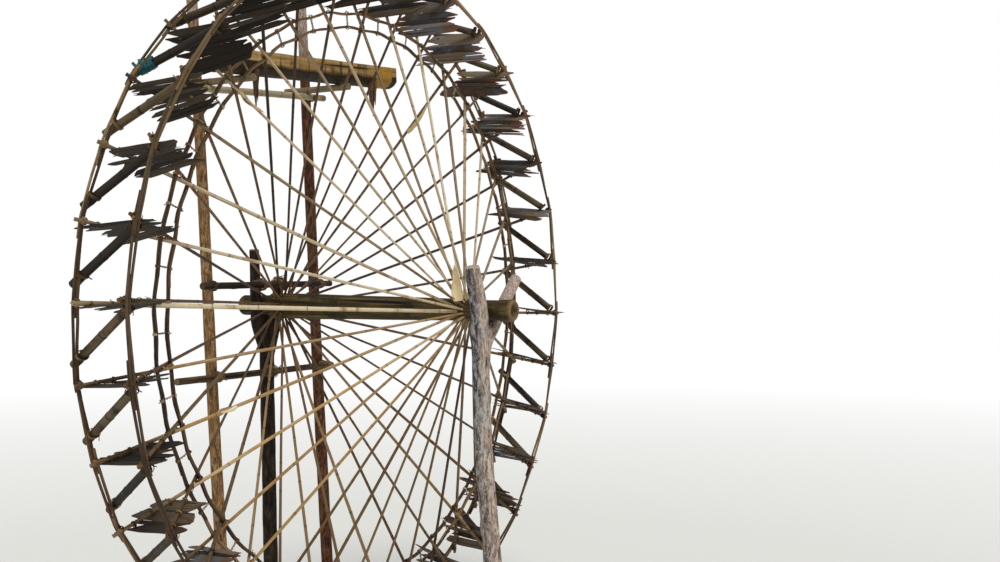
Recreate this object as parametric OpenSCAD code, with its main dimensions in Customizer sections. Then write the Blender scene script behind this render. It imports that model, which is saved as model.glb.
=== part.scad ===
// Bamboo noria: a crossed-spoke lifting wheel between forked posts, with its trough.
// X runs along the wheel, Y along the axle from the near side to the far side, Z up.
// The origin is on the floor, straight below the middle of the axle.

/* [Wheel] */
// Radius of the outer hoops, to the middle of their bars
rim_r = 2500; // [2300:10:2700]
// Number of spoke pairs, one pair to each paddle
spoke_pairs = 34; // [28:2:36]
// Angle of the first pair from +X towards +Z, in degrees
first_angle = 92.8; // [88:0.1:98]
// How far inside the outer hoops the two spokes of a pair cross
cross_in = 450; // [400:5:520]
// Height of the axle's middle above the floor
axle_z = 2700; // [2680:10:2900]

/* [Spokes] */
// Width of a spoke over its corners
spoke_d = 26; // [20:1:28]
// How far a spoke's tip stands out past the outer hoops
spoke_tip = 60; // [30:5:90]
// Distance of the hub mortises from the middle of the axle
hub_y = 800; // [740:5:840]
// How far every other mortise is moved along the axle
hub_stagger = 25; // [22:1:34]
// Diameter of the tenon at a spoke's foot
tenon_d = 14; // [10:1:16]
// Depth of the tenon in the axle
tenon_depth = 24; // [14:1:28]

/* [Hoops] */
// Width of an outer hoop's bar over its corners
hoop_d = 26; // [18:1:30]
// Width of a tie hoop's bar over its corners
tie_hoop_d = 16; // [12:1:20]
// How far a bar runs on past its node or lap
hoop_lap = 40; // [20:5:60]
// Diameter of the sticks between the two tie hoops
tie_stick_d = 10; // [6:1:16]

/* [Paddles] */
// Number of slats in a paddle
slats = 3; // [2:1:4]
// Depth of a paddle towards the axle
paddle_depth = 300; // [200:5:350]
// Thickness of a slat
slat_t = 7; // [4:0.5:12]
// Space between the slats of a paddle
slat_gap = 8; // [4:1:16]
// How far the slats reach out on the near side
paddle_near = 300; // [270:5:400]
// How far the slats reach out on the far side
paddle_far = 265; // [250:5:320]
// Largest difference in the slats' reach
paddle_ragged = 30; // [0:5:40]

/* [Lifting tubes] */
// Outer diameter of a tube
tube_d = 55; // [45:1:60]
// Wall of a tube
tube_wall = 5; // [3:0.5:8]
// Length of a tube
tube_len = 560; // [500:5:600]
// Angle of a tube to the axle's direction, in degrees
tube_tilt = 36; // [30:1:40]
// Thickness of the closed end of a tube
tube_floor = 12; // [6:1:20]
// Distance of a tube's closed end from the spoke pair before it
tube_start = 38; // [37:1:60]
// Distance of a tube's closed end from the middle of the wheel
tube_near = 170; // [150:5:175]

/* [Axle] */
// Diameter of the log at its near end
axle_near_d = 150; // [146:1:160]
// Diameter of the log at its far end
axle_far_d = 196; // [180:1:210]
// Length of the axle
axle_len = 2400; // [2340:10:2500]
// Diameter of the worn neck in the near post
near_neck_d = 140; // [120:1:144]
// Diameter of the worn neck in the far post
far_neck_d = 158; // [140:1:170]
// Diameter of the stub past the far neck
far_stub_d = 154; // [120:1:166]

/* [Posts] */
// Distance of the near post from the middle of the wheel
near_post_y = 1000; // [980:5:1020]
// Distance of the far posts' wheel side from the middle of the wheel
far_face_y = 940; // [930:5:960]
// Radius of the near post at its foot
near_post_r = 66; // [60:1:76]
// Radius of the near post where the axle lies against it
near_prong_r = 59; // [54:1:66]
// Radius of the near post's side prong
side_prong_r = 46; // [40:1:54]
// How far the side prong reaches out past the axle's middle
side_prong_reach = 380; // [300:10:440]
// Distance of the near post's foot from the axle's middle along X
near_foot_x = 120; // [60:5:160]
// Distance of the far post's foot from the axle's middle along X
far_foot_x = 80; // [40:5:120]
// Radius of the far post's trunk
far_post_r = 55; // [48:1:64]
// Radius of the far post's prongs
far_prong_r = 42; // [36:1:46]
// Radius of the left trough post at its foot
left_post_r = 46; // [40:1:60]
// Radius of the right trough post at its foot
right_post_r = 48; // [40:1:60]
// How much a trough post's radius shrinks from foot to top
post_taper = 10; // [4:1:16]
// How far the trough posts stand up past the trough's edge
post_past = 600; // [300:10:700]
// Distance of the left trough post's foot from the axle
left_post_x = 430; // [390:5:470]
// Distance of the right trough post's foot from the axle
right_post_x = 790; // [750:5:830]
// Lean of the trough posts towards -X, in degrees
post_lean = 4.2; // [3:0.1:4.8]

/* [Bars] */
// Diameter of the keeper bar and the lower bar
bar_d = 50; // [36:1:60]
// Height of the keeper bar above the axle's middle
keeper_up = 160; // [140:5:220]
// Drop of the lower bar below the axle's middle
lower_drop = 500; // [440:10:640]
// Diameter of the rail and bearers under the trough
bearer_d = 52; // [44:1:60]

/* [Trough] */
// Outer diameter of the hewn log
trough_d = 220; // [200:5:240]
// Width over the trough's hewn sides
trough_w = 190; // [175:5:200]
// Width of the hollow
hollow_d = 130; // [110:5:150]
// Height of the trough's top edge above the log's middle
trough_edge = 55; // [40:5:70]
// Length of the trough
trough_len = 2150; // [1950:10:2300]
// Thickness of the closed end
trough_end = 70; // [40:5:120]
// Distance of the trough from the middle of the wheel
trough_y = 620; // [600:5:640]
// Distance of the trough's middle along X
trough_x = 10; // [-60:5:80]
// Height of the trough's middle above the axle
trough_up = 1800; // [1740:5:1880]
// Fall of the trough towards -X, in degrees
trough_fall = 3.8; // [3:0.1:5]

/* [Fits] */
// Gap between pieces that are lashed together or socketed
seat_gap = 0.3; // [0.1:0.1:0.6]
// Gap between the axle's necks and their seats
neck_gap = 0.5; // [0.2:0.1:1]

/* [Hidden] */
$fn = 48;
sides = 8;
flat_share = cos(180 / sides);
half_flat_share = sin(180 / sides);
pitch = 360 / spoke_pairs;

spoke_r = spoke_d / 2;
spoke_flat = spoke_r * flat_share;
spoke_side = spoke_flat + seat_gap / 2;
cross_r = rim_r - cross_in;

hoop_r = hoop_d / 2;
hoop_flat = hoop_r * flat_share;
chord_r = rim_r * cos(pitch / 2);
chord_half = rim_r * sin(pitch / 2);

tie_r = tie_hoop_d / 2;
tie_flat = tie_r * flat_share;

tube_r = tube_d / 2;
far_neck_y = far_face_y + far_post_r;
neck_side = 25;
near_neck_half = near_post_r + neck_side;
far_neck_half = far_post_r + neck_side;
prong_bite = 3;

// The log tapers evenly between the two necks.
taper_y0 = near_neck_half - near_post_y;
taper_y1 = far_neck_y - far_neck_half;
function log_r(y) =
  (axle_near_d + (axle_far_d - axle_near_d) * (y - taper_y0) / (taper_y1 - taper_y0)) / 2;
hub_r = log_r(0);

sector = ceil(spoke_pairs / 4);
half = spoke_pairs / 2;
top_tubes = 12;

function pair_angle(k) = first_angle + k * pitch;

// Place of the mortise of pair k along the axle, and the slope of its two spokes.
function hub_place(k) = hub_y + (k % 2 == 0 ? -hub_stagger : hub_stagger);
function slope(k) = hub_place(k) / (cross_r - hub_r);
function lean(k) = atan(slope(k));

// Half the distance between the two spokes of pair k at radius r, past the crossing.
function spread(k, r) = slope(k) * (r - cross_r);

// Frame of an angle: X outward, Y along the axle, Z the way the angle grows.
module at_angle(a) {
  translate([0, 0, axle_z]) rotate([0, -a, 0]) children();
}

// Eight-sided stick along Z with flats towards X and Y.
module stick(r, len) {
  rotate([0, 0, 180 / sides]) cylinder(h = len, r = r, $fn = sides);
}

// Tapered round limb from point a to point b.
module limb(a, ra, b, rb) {
  d = b - a;
  translate(a) rotate([0, acos(d.z / norm(d)), atan2(d.y, d.x)])
    cylinder(h = norm(d), r1 = ra, r2 = rb);
}

// Bent trunk through points [x, y, z, radius], with a swelling at each bend.
knot_share = 1.12;
module trunk(p) {
  for (i = [0 : len(p) - 2])
    limb([p[i].x, p[i].y, p[i].z], p[i][3], [p[i + 1].x, p[i + 1].y, p[i + 1].z], p[i + 1][3]);
  for (i = [1 : len(p) - 2])
    translate([p[i].x, p[i].y, p[i].z]) sphere(r = p[i][3] * knot_share);
}

// Everything below the floor, to cut feet level.
ground = 6000;
module below_floor() {
  translate([-ground / 2, -ground / 2, -ground]) cube(ground);
}

// The axle's neck with its running gap, to cut seats.
room_len = 600;
module neck_room(d, y) {
  translate([0, y - room_len / 2, axle_z]) rotate([-90, 0, 0])
    cylinder(h = room_len, r = d / 2 + neck_gap);
}

// Bends of the near post: share of the axle's height, and of the way over from foot to axle.
near_bends = [[0.33, 0.25], [0.6, 0.72], [0.78, 0.88]];
near_top_up = 300;
near_top_out = 100;
post_sink = 60;
saddle_half = 150;
module near_post() {
  y = -near_post_y;
  prong_x = near_neck_d / 2 + near_prong_r - prong_bite;
  drop = (near_neck_d / 2 + side_prong_r - prong_bite) * sqrt(2);
  slim = near_post_r - near_prong_r;
  color([0.45, 0.42, 0.36]) difference() {
    union() {
      trunk(concat(
        [[near_foot_x, y, -post_sink, near_post_r]],
        [for (b = near_bends)
          [near_foot_x - b[1] * (near_foot_x + prong_x), y, b[0] * axle_z, near_post_r - b[0] * slim]],
        [[-prong_x, y, axle_z - saddle_half, near_prong_r],
         [-prong_x, y, axle_z, near_prong_r],
         [-prong_x - near_top_out, y, axle_z + near_top_up, near_prong_r - slim]]
      ));
      trunk([
        [-prong_x, y, axle_z - prong_x - drop, side_prong_r + slim],
        [prong_x, y, axle_z + prong_x - drop, side_prong_r],
        [side_prong_reach, y, axle_z + side_prong_reach - drop, side_prong_r - slim]
      ]);
    }
    neck_room(near_neck_d, y);
    below_floor();
  }
}

// The far post's two prongs leave its trunk and bend up at these depths below the axle's middle.
far_bend = 0.45;
far_top_x = 10;
fork_x = 20;
left_fork = 420;
right_fork = 400;
left_bend = 150;
right_bend = 120;
far_left_up = 430;
far_right_up = 220;
prong_lean = 20;
module far_post() {
  trunk_y = far_face_y + far_post_r;
  prong_y = far_face_y + far_prong_r;
  prong_x = far_neck_d / 2 + far_prong_r - prong_bite;
  color([0.24, 0.2, 0.16]) difference() {
    union() {
      trunk([
        [far_foot_x, trunk_y, -post_sink, far_post_r],
        [(far_foot_x + far_top_x) / 2, trunk_y, far_bend * axle_z, far_post_r],
        [far_top_x, trunk_y, axle_z - far_neck_d / 2 + prong_lean, far_post_r]
      ]);
      trunk([
        [fork_x, prong_y, axle_z - left_fork, far_prong_r],
        [-prong_x + prong_lean / 2, prong_y, axle_z - left_bend, far_prong_r],
        [-prong_x, prong_y, axle_z, far_prong_r],
        [-prong_x - prong_lean, prong_y, axle_z + far_left_up, far_prong_r - prong_lean / 4]
      ]);
      trunk([
        [fork_x, prong_y, axle_z - right_fork, far_prong_r],
        [prong_x - prong_lean / 2, prong_y, axle_z - right_bend, far_prong_r],
        [prong_x + prong_lean, prong_y, axle_z + far_right_up, far_prong_r - prong_lean / 4]
      ]);
    }
    neck_room(far_neck_d, far_neck_y);
    below_floor();
  }
}

// Tapered pole whose wheel side stays upright, so that bars lie flat against it.
// x is its foot, r its radius there, and h its height.
function pole_taper(h) = atan(post_taper / h);
function pole_x(x, z) = x - z * tan(post_lean);
function pole_r(r, h, z) = r - post_taper * z / h;
module pole(x, r, h) {
  difference() {
    translate([x, far_face_y, 0]) rotate([0, -post_lean, 0]) rotate([pole_taper(h), 0, 0])
      translate([0, r, -post_sink]) cylinder(h = h + post_sink, r1 = r, r2 = r - post_taper);
    below_floor();
  }
}
trough_post_h = axle_z + trough_up + trough_edge + post_past;
function left_x(z) = pole_x(-left_post_x, z);
function right_x(z) = pole_x(right_post_x, z);
module left_trough_post() {
  color([0.55, 0.43, 0.28]) pole(-left_post_x, left_post_r, trough_post_h);
}
module right_trough_post() {
  color([0.42, 0.26, 0.18]) pole(right_post_x, right_post_r, trough_post_h);
}

// Bar along X on the wheel side of the far posts.
module post_bar(x0, x1, z) {
  translate([x0, far_face_y - bar_d / 2 - seat_gap, z]) rotate([0, 90, 0])
    cylinder(h = x1 - x0, r = bar_d / 2);
}
keeper_end = 120;
lower_left_end = 420;
lower_right_end = 90;
module keeper_bar() {
  z = axle_z + keeper_up;
  color([0.27, 0.21, 0.15]) post_bar(left_x(z) - keeper_end, right_x(z) + keeper_end, z);
}
module lower_bar() {
  z = axle_z - lower_drop;
  color([0.4, 0.33, 0.22]) post_bar(left_x(z) - lower_left_end, right_x(z) + lower_right_end, z);
}

// The trough and what carries it. Its log falls towards -X.
bearer_r = bearer_d / 2;
trough_r = trough_d / 2;
function trough_z(x) = axle_z + trough_up + (x - trough_x) * tan(trough_fall);
bearer_drop = (trough_r + bearer_r + seat_gap) / cos(trough_fall);
rail_drop = bearer_drop + (bearer_d + seat_gap) / cos(trough_fall);
post_left_x = left_x(axle_z + trough_up);
post_right_x = right_x(axle_z + trough_up);
left_bearer_z = trough_z(post_left_x) - bearer_drop;
right_bearer_z = trough_z(post_right_x) - bearer_drop;
function beside(r, z) = (pole_r(r, trough_post_h, z) + bearer_r + seat_gap) / cos(post_lean);
left_bearer_x = left_x(left_bearer_z) + beside(left_post_r, left_bearer_z);
right_bearer_x = right_x(right_bearer_z) - beside(right_post_r, right_bearer_z);
bearer_past_trough = 30;
bearer_past_post = 90;
rail_past_post = 160;

module bearer(x) {
  y0 = trough_y - trough_w / 2 - bearer_past_trough;
  y1 = far_face_y + 2 * left_post_r + bearer_past_post;
  color([0.5, 0.4, 0.24]) translate([x, y0, trough_z(x) - bearer_drop]) rotate([-90, 0, 0])
    cylinder(h = y1 - y0, r = bearer_r);
}
module left_bearer() {
  bearer(left_bearer_x);
}
module right_bearer() {
  bearer(right_bearer_x);
}
module trough_rail() {
  x0 = post_left_x - rail_past_post;
  len = (post_right_x - post_left_x + 2 * rail_past_post) / cos(trough_fall);
  color([0.58, 0.46, 0.25])
    translate([x0, far_face_y - bearer_r - seat_gap, trough_z(x0) - rail_drop])
      rotate([0, 90 - trough_fall, 0]) cylinder(h = len, r = bearer_r);
}
module trough() {
  color([0.6, 0.47, 0.28]) translate([trough_x, trough_y, axle_z + trough_up])
    rotate([0, 90 - trough_fall, 0]) translate([0, 0, -trough_len / 2]) difference() {
      intersection() {
        cylinder(h = trough_len, r = trough_r);
        translate([-trough_edge, -trough_w / 2, 0]) cube([trough_edge + trough_r, trough_w, trough_len]);
      }
      translate([-trough_edge, 0, -trough_end]) cylinder(h = trough_len, r = hollow_d / 2);
    }
}

// Foot of the spokes: the tenon's shoulder stands just clear of the log.
shoulder_gap = 2;
tenon_root = 1;
mortise_room = 1;
function foot_r(side) = log_r(side * hub_y);
function shoulder_r(k, side) = foot_r(side) + spoke_r * sin(lean(k)) + shoulder_gap;

// Places a child along the spoke of pair k from the hub at side -1 (near) or 1 (far),
// with Z along the spoke and the origin where it stands at radius r.
module along_spoke(k, side, r) {
  at_angle(pair_angle(k)) translate([r, -side * spread(k, r), -side * spoke_side])
    rotate([0, 0, -side * lean(k)]) rotate([0, 90, 0]) children();
}
module spoke(k, side) {
  foot = shoulder_r(k, side);
  tenon_len = (foot - foot_r(side) + tenon_depth) / cos(lean(k));
  along_spoke(k, side, foot) {
    stick(spoke_r, (rim_r + spoke_tip - foot) / cos(lean(k)));
    translate([0, 0, -tenon_len]) cylinder(h = tenon_len + tenon_root, r = tenon_d / 2, $fn = 24);
  }
}
module spokes(side, first) {
  for (k = [first : first + half - 1]) spoke(k, side);
}
near_cane = [0.62, 0.47, 0.26];
far_cane = [0.42, 0.3, 0.17];
module near_spokes_left() {
  color(near_cane) spokes(-1, 0);
}
module near_spokes_right() {
  color(near_cane) spokes(-1, half);
}
module far_spokes_left() {
  color(far_cane) spokes(1, 0);
}
module far_spokes_right() {
  color(far_cane) spokes(1, half);
}

// Turned outline of the log: tapered, with a worn neck over each post.
near_end_y = -axle_len / 2;
far_end_y = axle_len / 2;
module axle() {
  color([0.33, 0.28, 0.18]) difference() {
    translate([0, 0, axle_z]) rotate([-90, 0, 0]) rotate_extrude($fn = 64) polygon([
      [0, near_end_y], [axle_near_d / 2, near_end_y],
      [axle_near_d / 2, -near_post_y - near_neck_half],
      [near_neck_d / 2, -near_post_y - near_neck_half],
      [near_neck_d / 2, taper_y0], [axle_near_d / 2, taper_y0],
      [axle_far_d / 2, taper_y1], [far_neck_d / 2, taper_y1],
      [far_neck_d / 2, far_neck_y + far_neck_half], [far_stub_d / 2, far_neck_y + far_neck_half],
      [far_stub_d / 2, far_end_y], [0, far_end_y]
    ]);
    for (side = [-1, 1], k = [0 : spoke_pairs - 1])
      along_spoke(k, side, foot_r(side) - tenon_depth - mortise_room)
        cylinder(h = 3 * tenon_depth, r = tenon_d / 2 + seat_gap, $fn = 24);
  }
}

// Outer hoops: straight bars one bay long, lapped side by side at the spoke pairs.
// Each bar starts against the spokes and ends outside the next bar.
function seat_y(k) = spread(k, rim_r) + (spoke_flat + hoop_r + seat_gap) / cos(lean(k));
zigzag = seat_y(1) - seat_y(0);
lap_step = 2 * hoop_flat + seat_gap + hoop_lap * zigzag / chord_half;
module hoop(side) {
  for (k = [0 : spoke_pairs - 1]) {
    inner_y = seat_y(side > 0 ? k : k + 1);
    outer_y = seat_y(side > 0 ? k + 1 : k) + lap_step;
    skew = atan((outer_y - inner_y) / (2 * chord_half));
    len = 2 * (chord_half + hoop_lap) / cos(skew);
    at_angle(pair_angle(k) + pitch / 2)
      translate([chord_r, side * (inner_y + outer_y) / 2, 0])
        rotate([-skew, 0, 0]) translate([0, 0, -len / 2]) stick(hoop_r, len);
  }
}
module near_hoop() {
  color([0.5, 0.37, 0.2]) hoop(-1);
}
module far_hoop() {
  color([0.44, 0.32, 0.18]) hoop(1);
}

// Tie hoops: bars laid in the crotch of each spoke pair, lapped halfway between the pairs.
// side 1 lies outside the crossings and -1 inside them.
function tie_offset(k) = (spoke_flat + tie_r + seat_gap) / sin(lean(k));
function tie_radius(side) = cross_r + side * tie_offset(0);
module tie_hoop(side) {
  r = tie_radius(side);
  reach = r * tan(pitch / 2);
  skew = atan((2 * tie_flat + seat_gap) / (2 * reach));
  for (k = [0 : spoke_pairs - 1])
    at_angle(pair_angle(k)) translate([r, 0, 0]) rotate([side * skew, 0, 0])
      translate([0, 0, -reach - hoop_lap]) stick(tie_r, 2 * (reach + hoop_lap));
}
module outer_tie_hoop() {
  color([0.53, 0.4, 0.22]) tie_hoop(1);
}
module inner_tie_hoop() {
  color([0.53, 0.4, 0.22]) tie_hoop(-1);
}
module tie_sticks() {
  tilt_room = tie_stick_d / 2 * tan(pitch / 2) + seat_gap;
  r0 = (tie_radius(-1) + tie_flat) / cos(pitch / 2) + tilt_room;
  r1 = (tie_radius(1) - tie_flat) / cos(pitch / 2) - tilt_room;
  color([0.6, 0.5, 0.34]) for (k = [0 : spoke_pairs - 1])
    at_angle(pair_angle(k) + pitch / 2) translate([r0, 0, 0]) rotate([0, 90, 0])
      stick(tie_stick_d / 2, r1 - r0);
}

// Paddles: slats laid across both spokes of a pair, between the tie hoop and the outer hoops.
slat_rise = 60;
slat_clear = 4;
paddle_in = slat_rise * tan(pitch / 2) + slat_clear;
paddle_r0 = rim_r - hoop_r - paddle_in - paddle_depth;
slat_h = (paddle_depth - (slats - 1) * slat_gap) / slats;
function ragged(k, i) = rands(-1, 1, 2 * slats, 7 + k % half)[i] * paddle_ragged;
module paddle(k) {
  for (i = [0 : slats - 1]) {
    r = paddle_r0 + slat_h / 2 + i * (slat_h + slat_gap);
    twist = atan(spoke_side / spread(k, r));
    lift = tan(twist) * (slope(k) * slat_h / 2 + spoke_r * half_flat_share / cos(lean(k)));
    near = paddle_near + ragged(k, 2 * i);
    far = paddle_far + ragged(k, 2 * i + 1);
    translate([r, 0, spoke_flat + lift]) rotate([twist, 0, 0])
      translate([-slat_h / 2, -near, seat_gap]) cube([slat_h, near + far, slat_t]);
  }
}
module paddles(first, last) {
  color([0.46, 0.37, 0.25]) for (k = [first : last]) at_angle(pair_angle(k)) paddle(k);
}
module left_upper_paddles() {
  paddles(0, sector - 1);
}
module left_lower_paddles() {
  paddles(sector, half - 1);
}
module right_lower_paddles() {
  paddles(half, half + sector - 1);
}
module right_upper_paddles() {
  paddles(half + sector, spoke_pairs - 1);
}

// Lifting tubes: closed near end just past a pair, open far end before the next one. They lie
// inside the far hoop.
tube_in_r = chord_r - hoop_flat - seat_gap - tube_r;
module tube(k) {
  at_angle(pair_angle(k) + pitch / 2)
    translate([tube_in_r, -tube_near, tube_start - chord_half])
      rotate([tube_tilt - 90, 0, 0]) difference() {
        cylinder(h = tube_len, r = tube_r);
        translate([0, 0, tube_floor]) cylinder(h = tube_len, r = tube_r - tube_wall);
      }
}
module tubes(first, count) {
  color([0.3, 0.22, 0.13]) for (k = [first : first + count - 1]) tube(k);
}
side_tubes = (spoke_pairs - top_tubes) / 2;
module top_tubes() {
  tubes(-top_tubes / 2, top_tubes);
}
module left_tubes() {
  tubes(top_tubes / 2, side_tubes);
}
module right_tubes() {
  tubes(top_tubes / 2 + side_tubes, side_tubes);
}

near_post();
far_post();
left_trough_post();
right_trough_post();
keeper_bar();
lower_bar();
trough_rail();
left_bearer();
right_bearer();
trough();
axle();
near_spokes_left();
near_spokes_right();
far_spokes_left();
far_spokes_right();
near_hoop();
far_hoop();
outer_tie_hoop();
inner_tie_hoop();
tie_sticks();
left_upper_paddles();
left_lower_paddles();
right_lower_paddles();
right_upper_paddles();
top_tubes();
left_tubes();
right_tubes();
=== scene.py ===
# A bamboo noria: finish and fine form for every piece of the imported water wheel.
import math
import random

import bpy
import numpy as np
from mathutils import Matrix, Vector, noise


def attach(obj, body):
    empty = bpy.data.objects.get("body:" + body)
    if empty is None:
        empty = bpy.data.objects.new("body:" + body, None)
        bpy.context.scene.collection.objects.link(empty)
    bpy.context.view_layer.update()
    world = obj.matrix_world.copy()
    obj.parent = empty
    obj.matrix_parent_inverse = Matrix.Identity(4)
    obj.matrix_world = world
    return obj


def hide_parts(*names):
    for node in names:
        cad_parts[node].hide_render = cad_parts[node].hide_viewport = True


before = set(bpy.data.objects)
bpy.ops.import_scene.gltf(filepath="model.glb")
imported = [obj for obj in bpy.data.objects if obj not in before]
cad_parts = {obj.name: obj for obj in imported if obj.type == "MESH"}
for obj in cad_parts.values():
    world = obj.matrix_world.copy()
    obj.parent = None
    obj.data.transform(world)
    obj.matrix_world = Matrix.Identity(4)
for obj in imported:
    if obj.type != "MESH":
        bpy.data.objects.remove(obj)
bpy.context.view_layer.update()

# Driving sizes, in metres and degrees
AXLE_Z = 2.7
AXLE_HALF = 1.2
RIM_R = 2.5
PAIRS = 34
HALF = PAIRS // 2
FIRST_ANGLE = 92.8
PITCH = 360 / PAIRS
HALF_PITCH = math.radians(PITCH / 2)
CROSS_R = 2.05
HUB_Y = 0.8
HUB_STAGGER = 0.025
SPOKE_R = 0.013
SPOKE_TIP = 0.06
SPOKE_FOOT = 0.012
HOOP_R = 0.013
TIE_R = 0.008
SEAT = 0.0003
FLAT = math.cos(math.pi / 8)
SPOKE_FLAT = SPOKE_R * FLAT
SPOKE_SIDE = SPOKE_FLAT + SEAT / 2
SLATS = 3
SLAT_GAP = 0.008
SLAT_T = 0.007
SLAT_RISE = 0.06
SLAT_CLEAR = 0.004
PADDLE_NEAR = 0.30
PADDLE_FAR = 0.265
PADDLE_DEPTH = 0.30
TUBE_R = 0.0275
TUBE_WALL = 0.005
TUBE_LEN = 0.56
TUBE_TILT = math.radians(36)
TUBE_START = 0.038
TUBE_NEAR = 0.17
TUBE_FLOOR = 0.012
NEAR_NECK_Y, NEAR_NECK_HALF, NEAR_NECK_R = -1.0, 0.091, 0.070
FAR_NECK_Y, FAR_NECK_HALF, FAR_NECK_R = 0.995, 0.080, 0.079
AXLE_NEAR_R, AXLE_FAR_R, AXLE_STUB_R = 0.075, 0.098, 0.077

# Rows of wheel_axes, and the two bodies
OUT, ALONG, ROUND = 0, 1, 2
STAND, WHEEL = "stand", "wheel"


# The wheel's own frame

def log_r(y):
    """Radius of the axle's log, which tapers between its necks."""
    y0, y1 = NEAR_NECK_Y + NEAR_NECK_HALF, FAR_NECK_Y - FAR_NECK_HALF
    return AXLE_NEAR_R + (AXLE_FAR_R - AXLE_NEAR_R) * (y - y0) / (y1 - y0)


def pair_angle(k):
    return FIRST_ANGLE + k * PITCH


def bay_angle(k):
    return (pair_angle(k) + pair_angle(k + 1)) / 2


def slope(k):
    stagger = -HUB_STAGGER if k % 2 == 0 else HUB_STAGGER
    return (HUB_Y + stagger) / (CROSS_R - log_r(0))


def lean(k):
    return math.atan(slope(k))


def spread(k, r):
    return slope(k) * (r - CROSS_R)


def wheel_axes(angle):
    """Outward, along the axle, and round the way the angle grows."""
    a = math.radians(angle)
    return np.array([[math.cos(a), 0, math.sin(a)], [0, 1, 0], [-math.sin(a), 0, math.cos(a)]])


def wheel_point(angle, out, along=0.0, round_=0.0):
    return np.array([0, 0, AXLE_Z]) + np.array([out, along, round_]) @ wheel_axes(angle)


def each_pair(kind):
    """Number, seeded draws and axes of each spoke pair."""
    for k in range(PAIRS):
        yield k, random.Random(f"{kind} {k}"), wheel_axes(pair_angle(k))


# Mesh making

def evenly(low, high, steps):
    return [low + (high - low) * i / steps for i in range(steps + 1)]


def turns(sides):
    return np.arange(sides) * 2 * math.pi / sides


def circle_section(sides):
    a = turns(sides)
    return np.stack([np.cos(a), np.sin(a)], 1)


ROUND_8 = circle_section(8)
ROUND_12 = circle_section(12)
ROUND_24 = circle_section(24)
THONG = np.array([[1, -0.6], [1, 0.6], [-1, 0.6], [-1, -0.6]])
# A flat split with rounded edges
SLAB = np.array([[1, -0.45], [1, 0.45], [0.86, 1], [0, 1], [-0.86, 1],
                 [-1, 0.45], [-1, -0.45], [-0.86, -1], [0, -1], [0.86, -1]])


def unit(v):
    v = np.asarray(v, float)
    return v / np.linalg.norm(v, axis=-1, keepdims=True)


def distance_along(path):
    return np.concatenate([[0], np.cumsum(np.linalg.norm(np.diff(path, axis=0), axis=1))])


def grain_coordinates(a, b, run, seed):
    """Places across and along the grain, shifted by the seed so that no two pieces look alike."""
    along = np.broadcast_to(run[:, None] + seed * 7.3, a.shape)
    return np.stack([a + seed * 3.1, b + seed * 1.7, along], -1).reshape(-1, 3)


def skin_faces(rings, sides):
    """Quads between rings of points, and a face over each end."""
    faces = []
    for low in range(0, (rings - 1) * sides, sides):
        high = low + sides
        faces += [(low + j, low + (j + 1) % sides, high + (j + 1) % sides, high + j) for j in range(sides)]
    return faces + [tuple(range(sides))[::-1], tuple(range((rings - 1) * sides, rings * sides))]


def link(obj):
    bpy.context.scene.collection.objects.link(obj)
    return obj


class Shape:
    """Gathers swept solids, each with its own grain coordinates, tone and mark for the materials."""

    def __init__(self):
        self.verts, self.faces, self.grain, self.tone, self.mark = [], [], [], [], []
        self.count = 0

    def add(self, verts, faces, grain, tone, mark):
        """Adds a solid: one tone for all of it, and a mark for each of its rings."""
        self.verts.append(verts.reshape(-1, 3))
        self.faces.extend([[i + self.count for i in face] for face in faces])
        self.grain.append(grain)
        count = len(self.verts[-1])
        self.tone.append(np.full(count, tone))
        self.mark.append(np.repeat(np.asarray(mark, float), count // len(mark)))
        self.count += count

    def sweep(self, path, across, width, height=None, section=ROUND_8, rng=None, tone=None, mark=0.0,
              relief=1.0):
        """Sweeps a section along a path. across is the way of its width, relief scales each ring's points."""
        path = np.asarray(path, float)
        n, m = len(path), len(section)
        if tone is None:
            tone = rng.random() if rng else 0.5
        seed = rng.random() if rng else 0.0
        width = np.broadcast_to(width, (n,))
        height = width if height is None else np.broadcast_to(height, (n,))
        ahead = unit(np.gradient(path, axis=0))
        across = np.broadcast_to(across, (n, 3))
        side = unit(across - (across * ahead).sum(1, keepdims=True) * ahead)
        up = np.cross(ahead, side)
        a = section[None, :, 0] * width[:, None] * relief
        b = section[None, :, 1] * height[:, None] * relief
        verts = path[:, None] + side[:, None] * a[..., None] + up[:, None] * b[..., None]
        grain = grain_coordinates(a, b, distance_along(path), seed)
        self.add(verts, skin_faces(n, m), grain, tone, np.broadcast_to(mark, (n,)))

    def revolve(self, start, ahead, across, rows, sides, tone, seed, wobble=1.0):
        """Turns rows of (distance, radius, mark) round the line from start."""
        up = np.cross(ahead, across)
        ring = circle_section(sides)
        s, r, mark = np.array(rows, float).T
        radius = np.repeat(r[:, None], sides, 1) * wobble
        a, b = radius * ring[None, :, 0], radius * ring[None, :, 1]
        verts = start + s[:, None, None] * ahead + a[..., None] * across + b[..., None] * up
        self.add(verts, skin_faces(len(s), sides), grain_coordinates(a, b, s, seed), tone, mark)

    def build(self, name, material, body, slot, dress=False, crease=38):
        """Makes the piece. It stands for the CAD node of its name, unless it is dress that no node has."""
        piece = name if dress else name + "_form"
        mesh = bpy.data.meshes.new(piece)
        mesh.from_pydata(np.concatenate(self.verts).tolist(), [], self.faces)
        skin_mesh(mesh, material, *[np.concatenate(part) for part in (self.grain, self.tone, self.mark)])
        mesh.set_sharp_from_angle(angle=math.radians(crease))
        place(bpy.data.objects.new(piece, mesh), body, None if dress else name)


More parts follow.
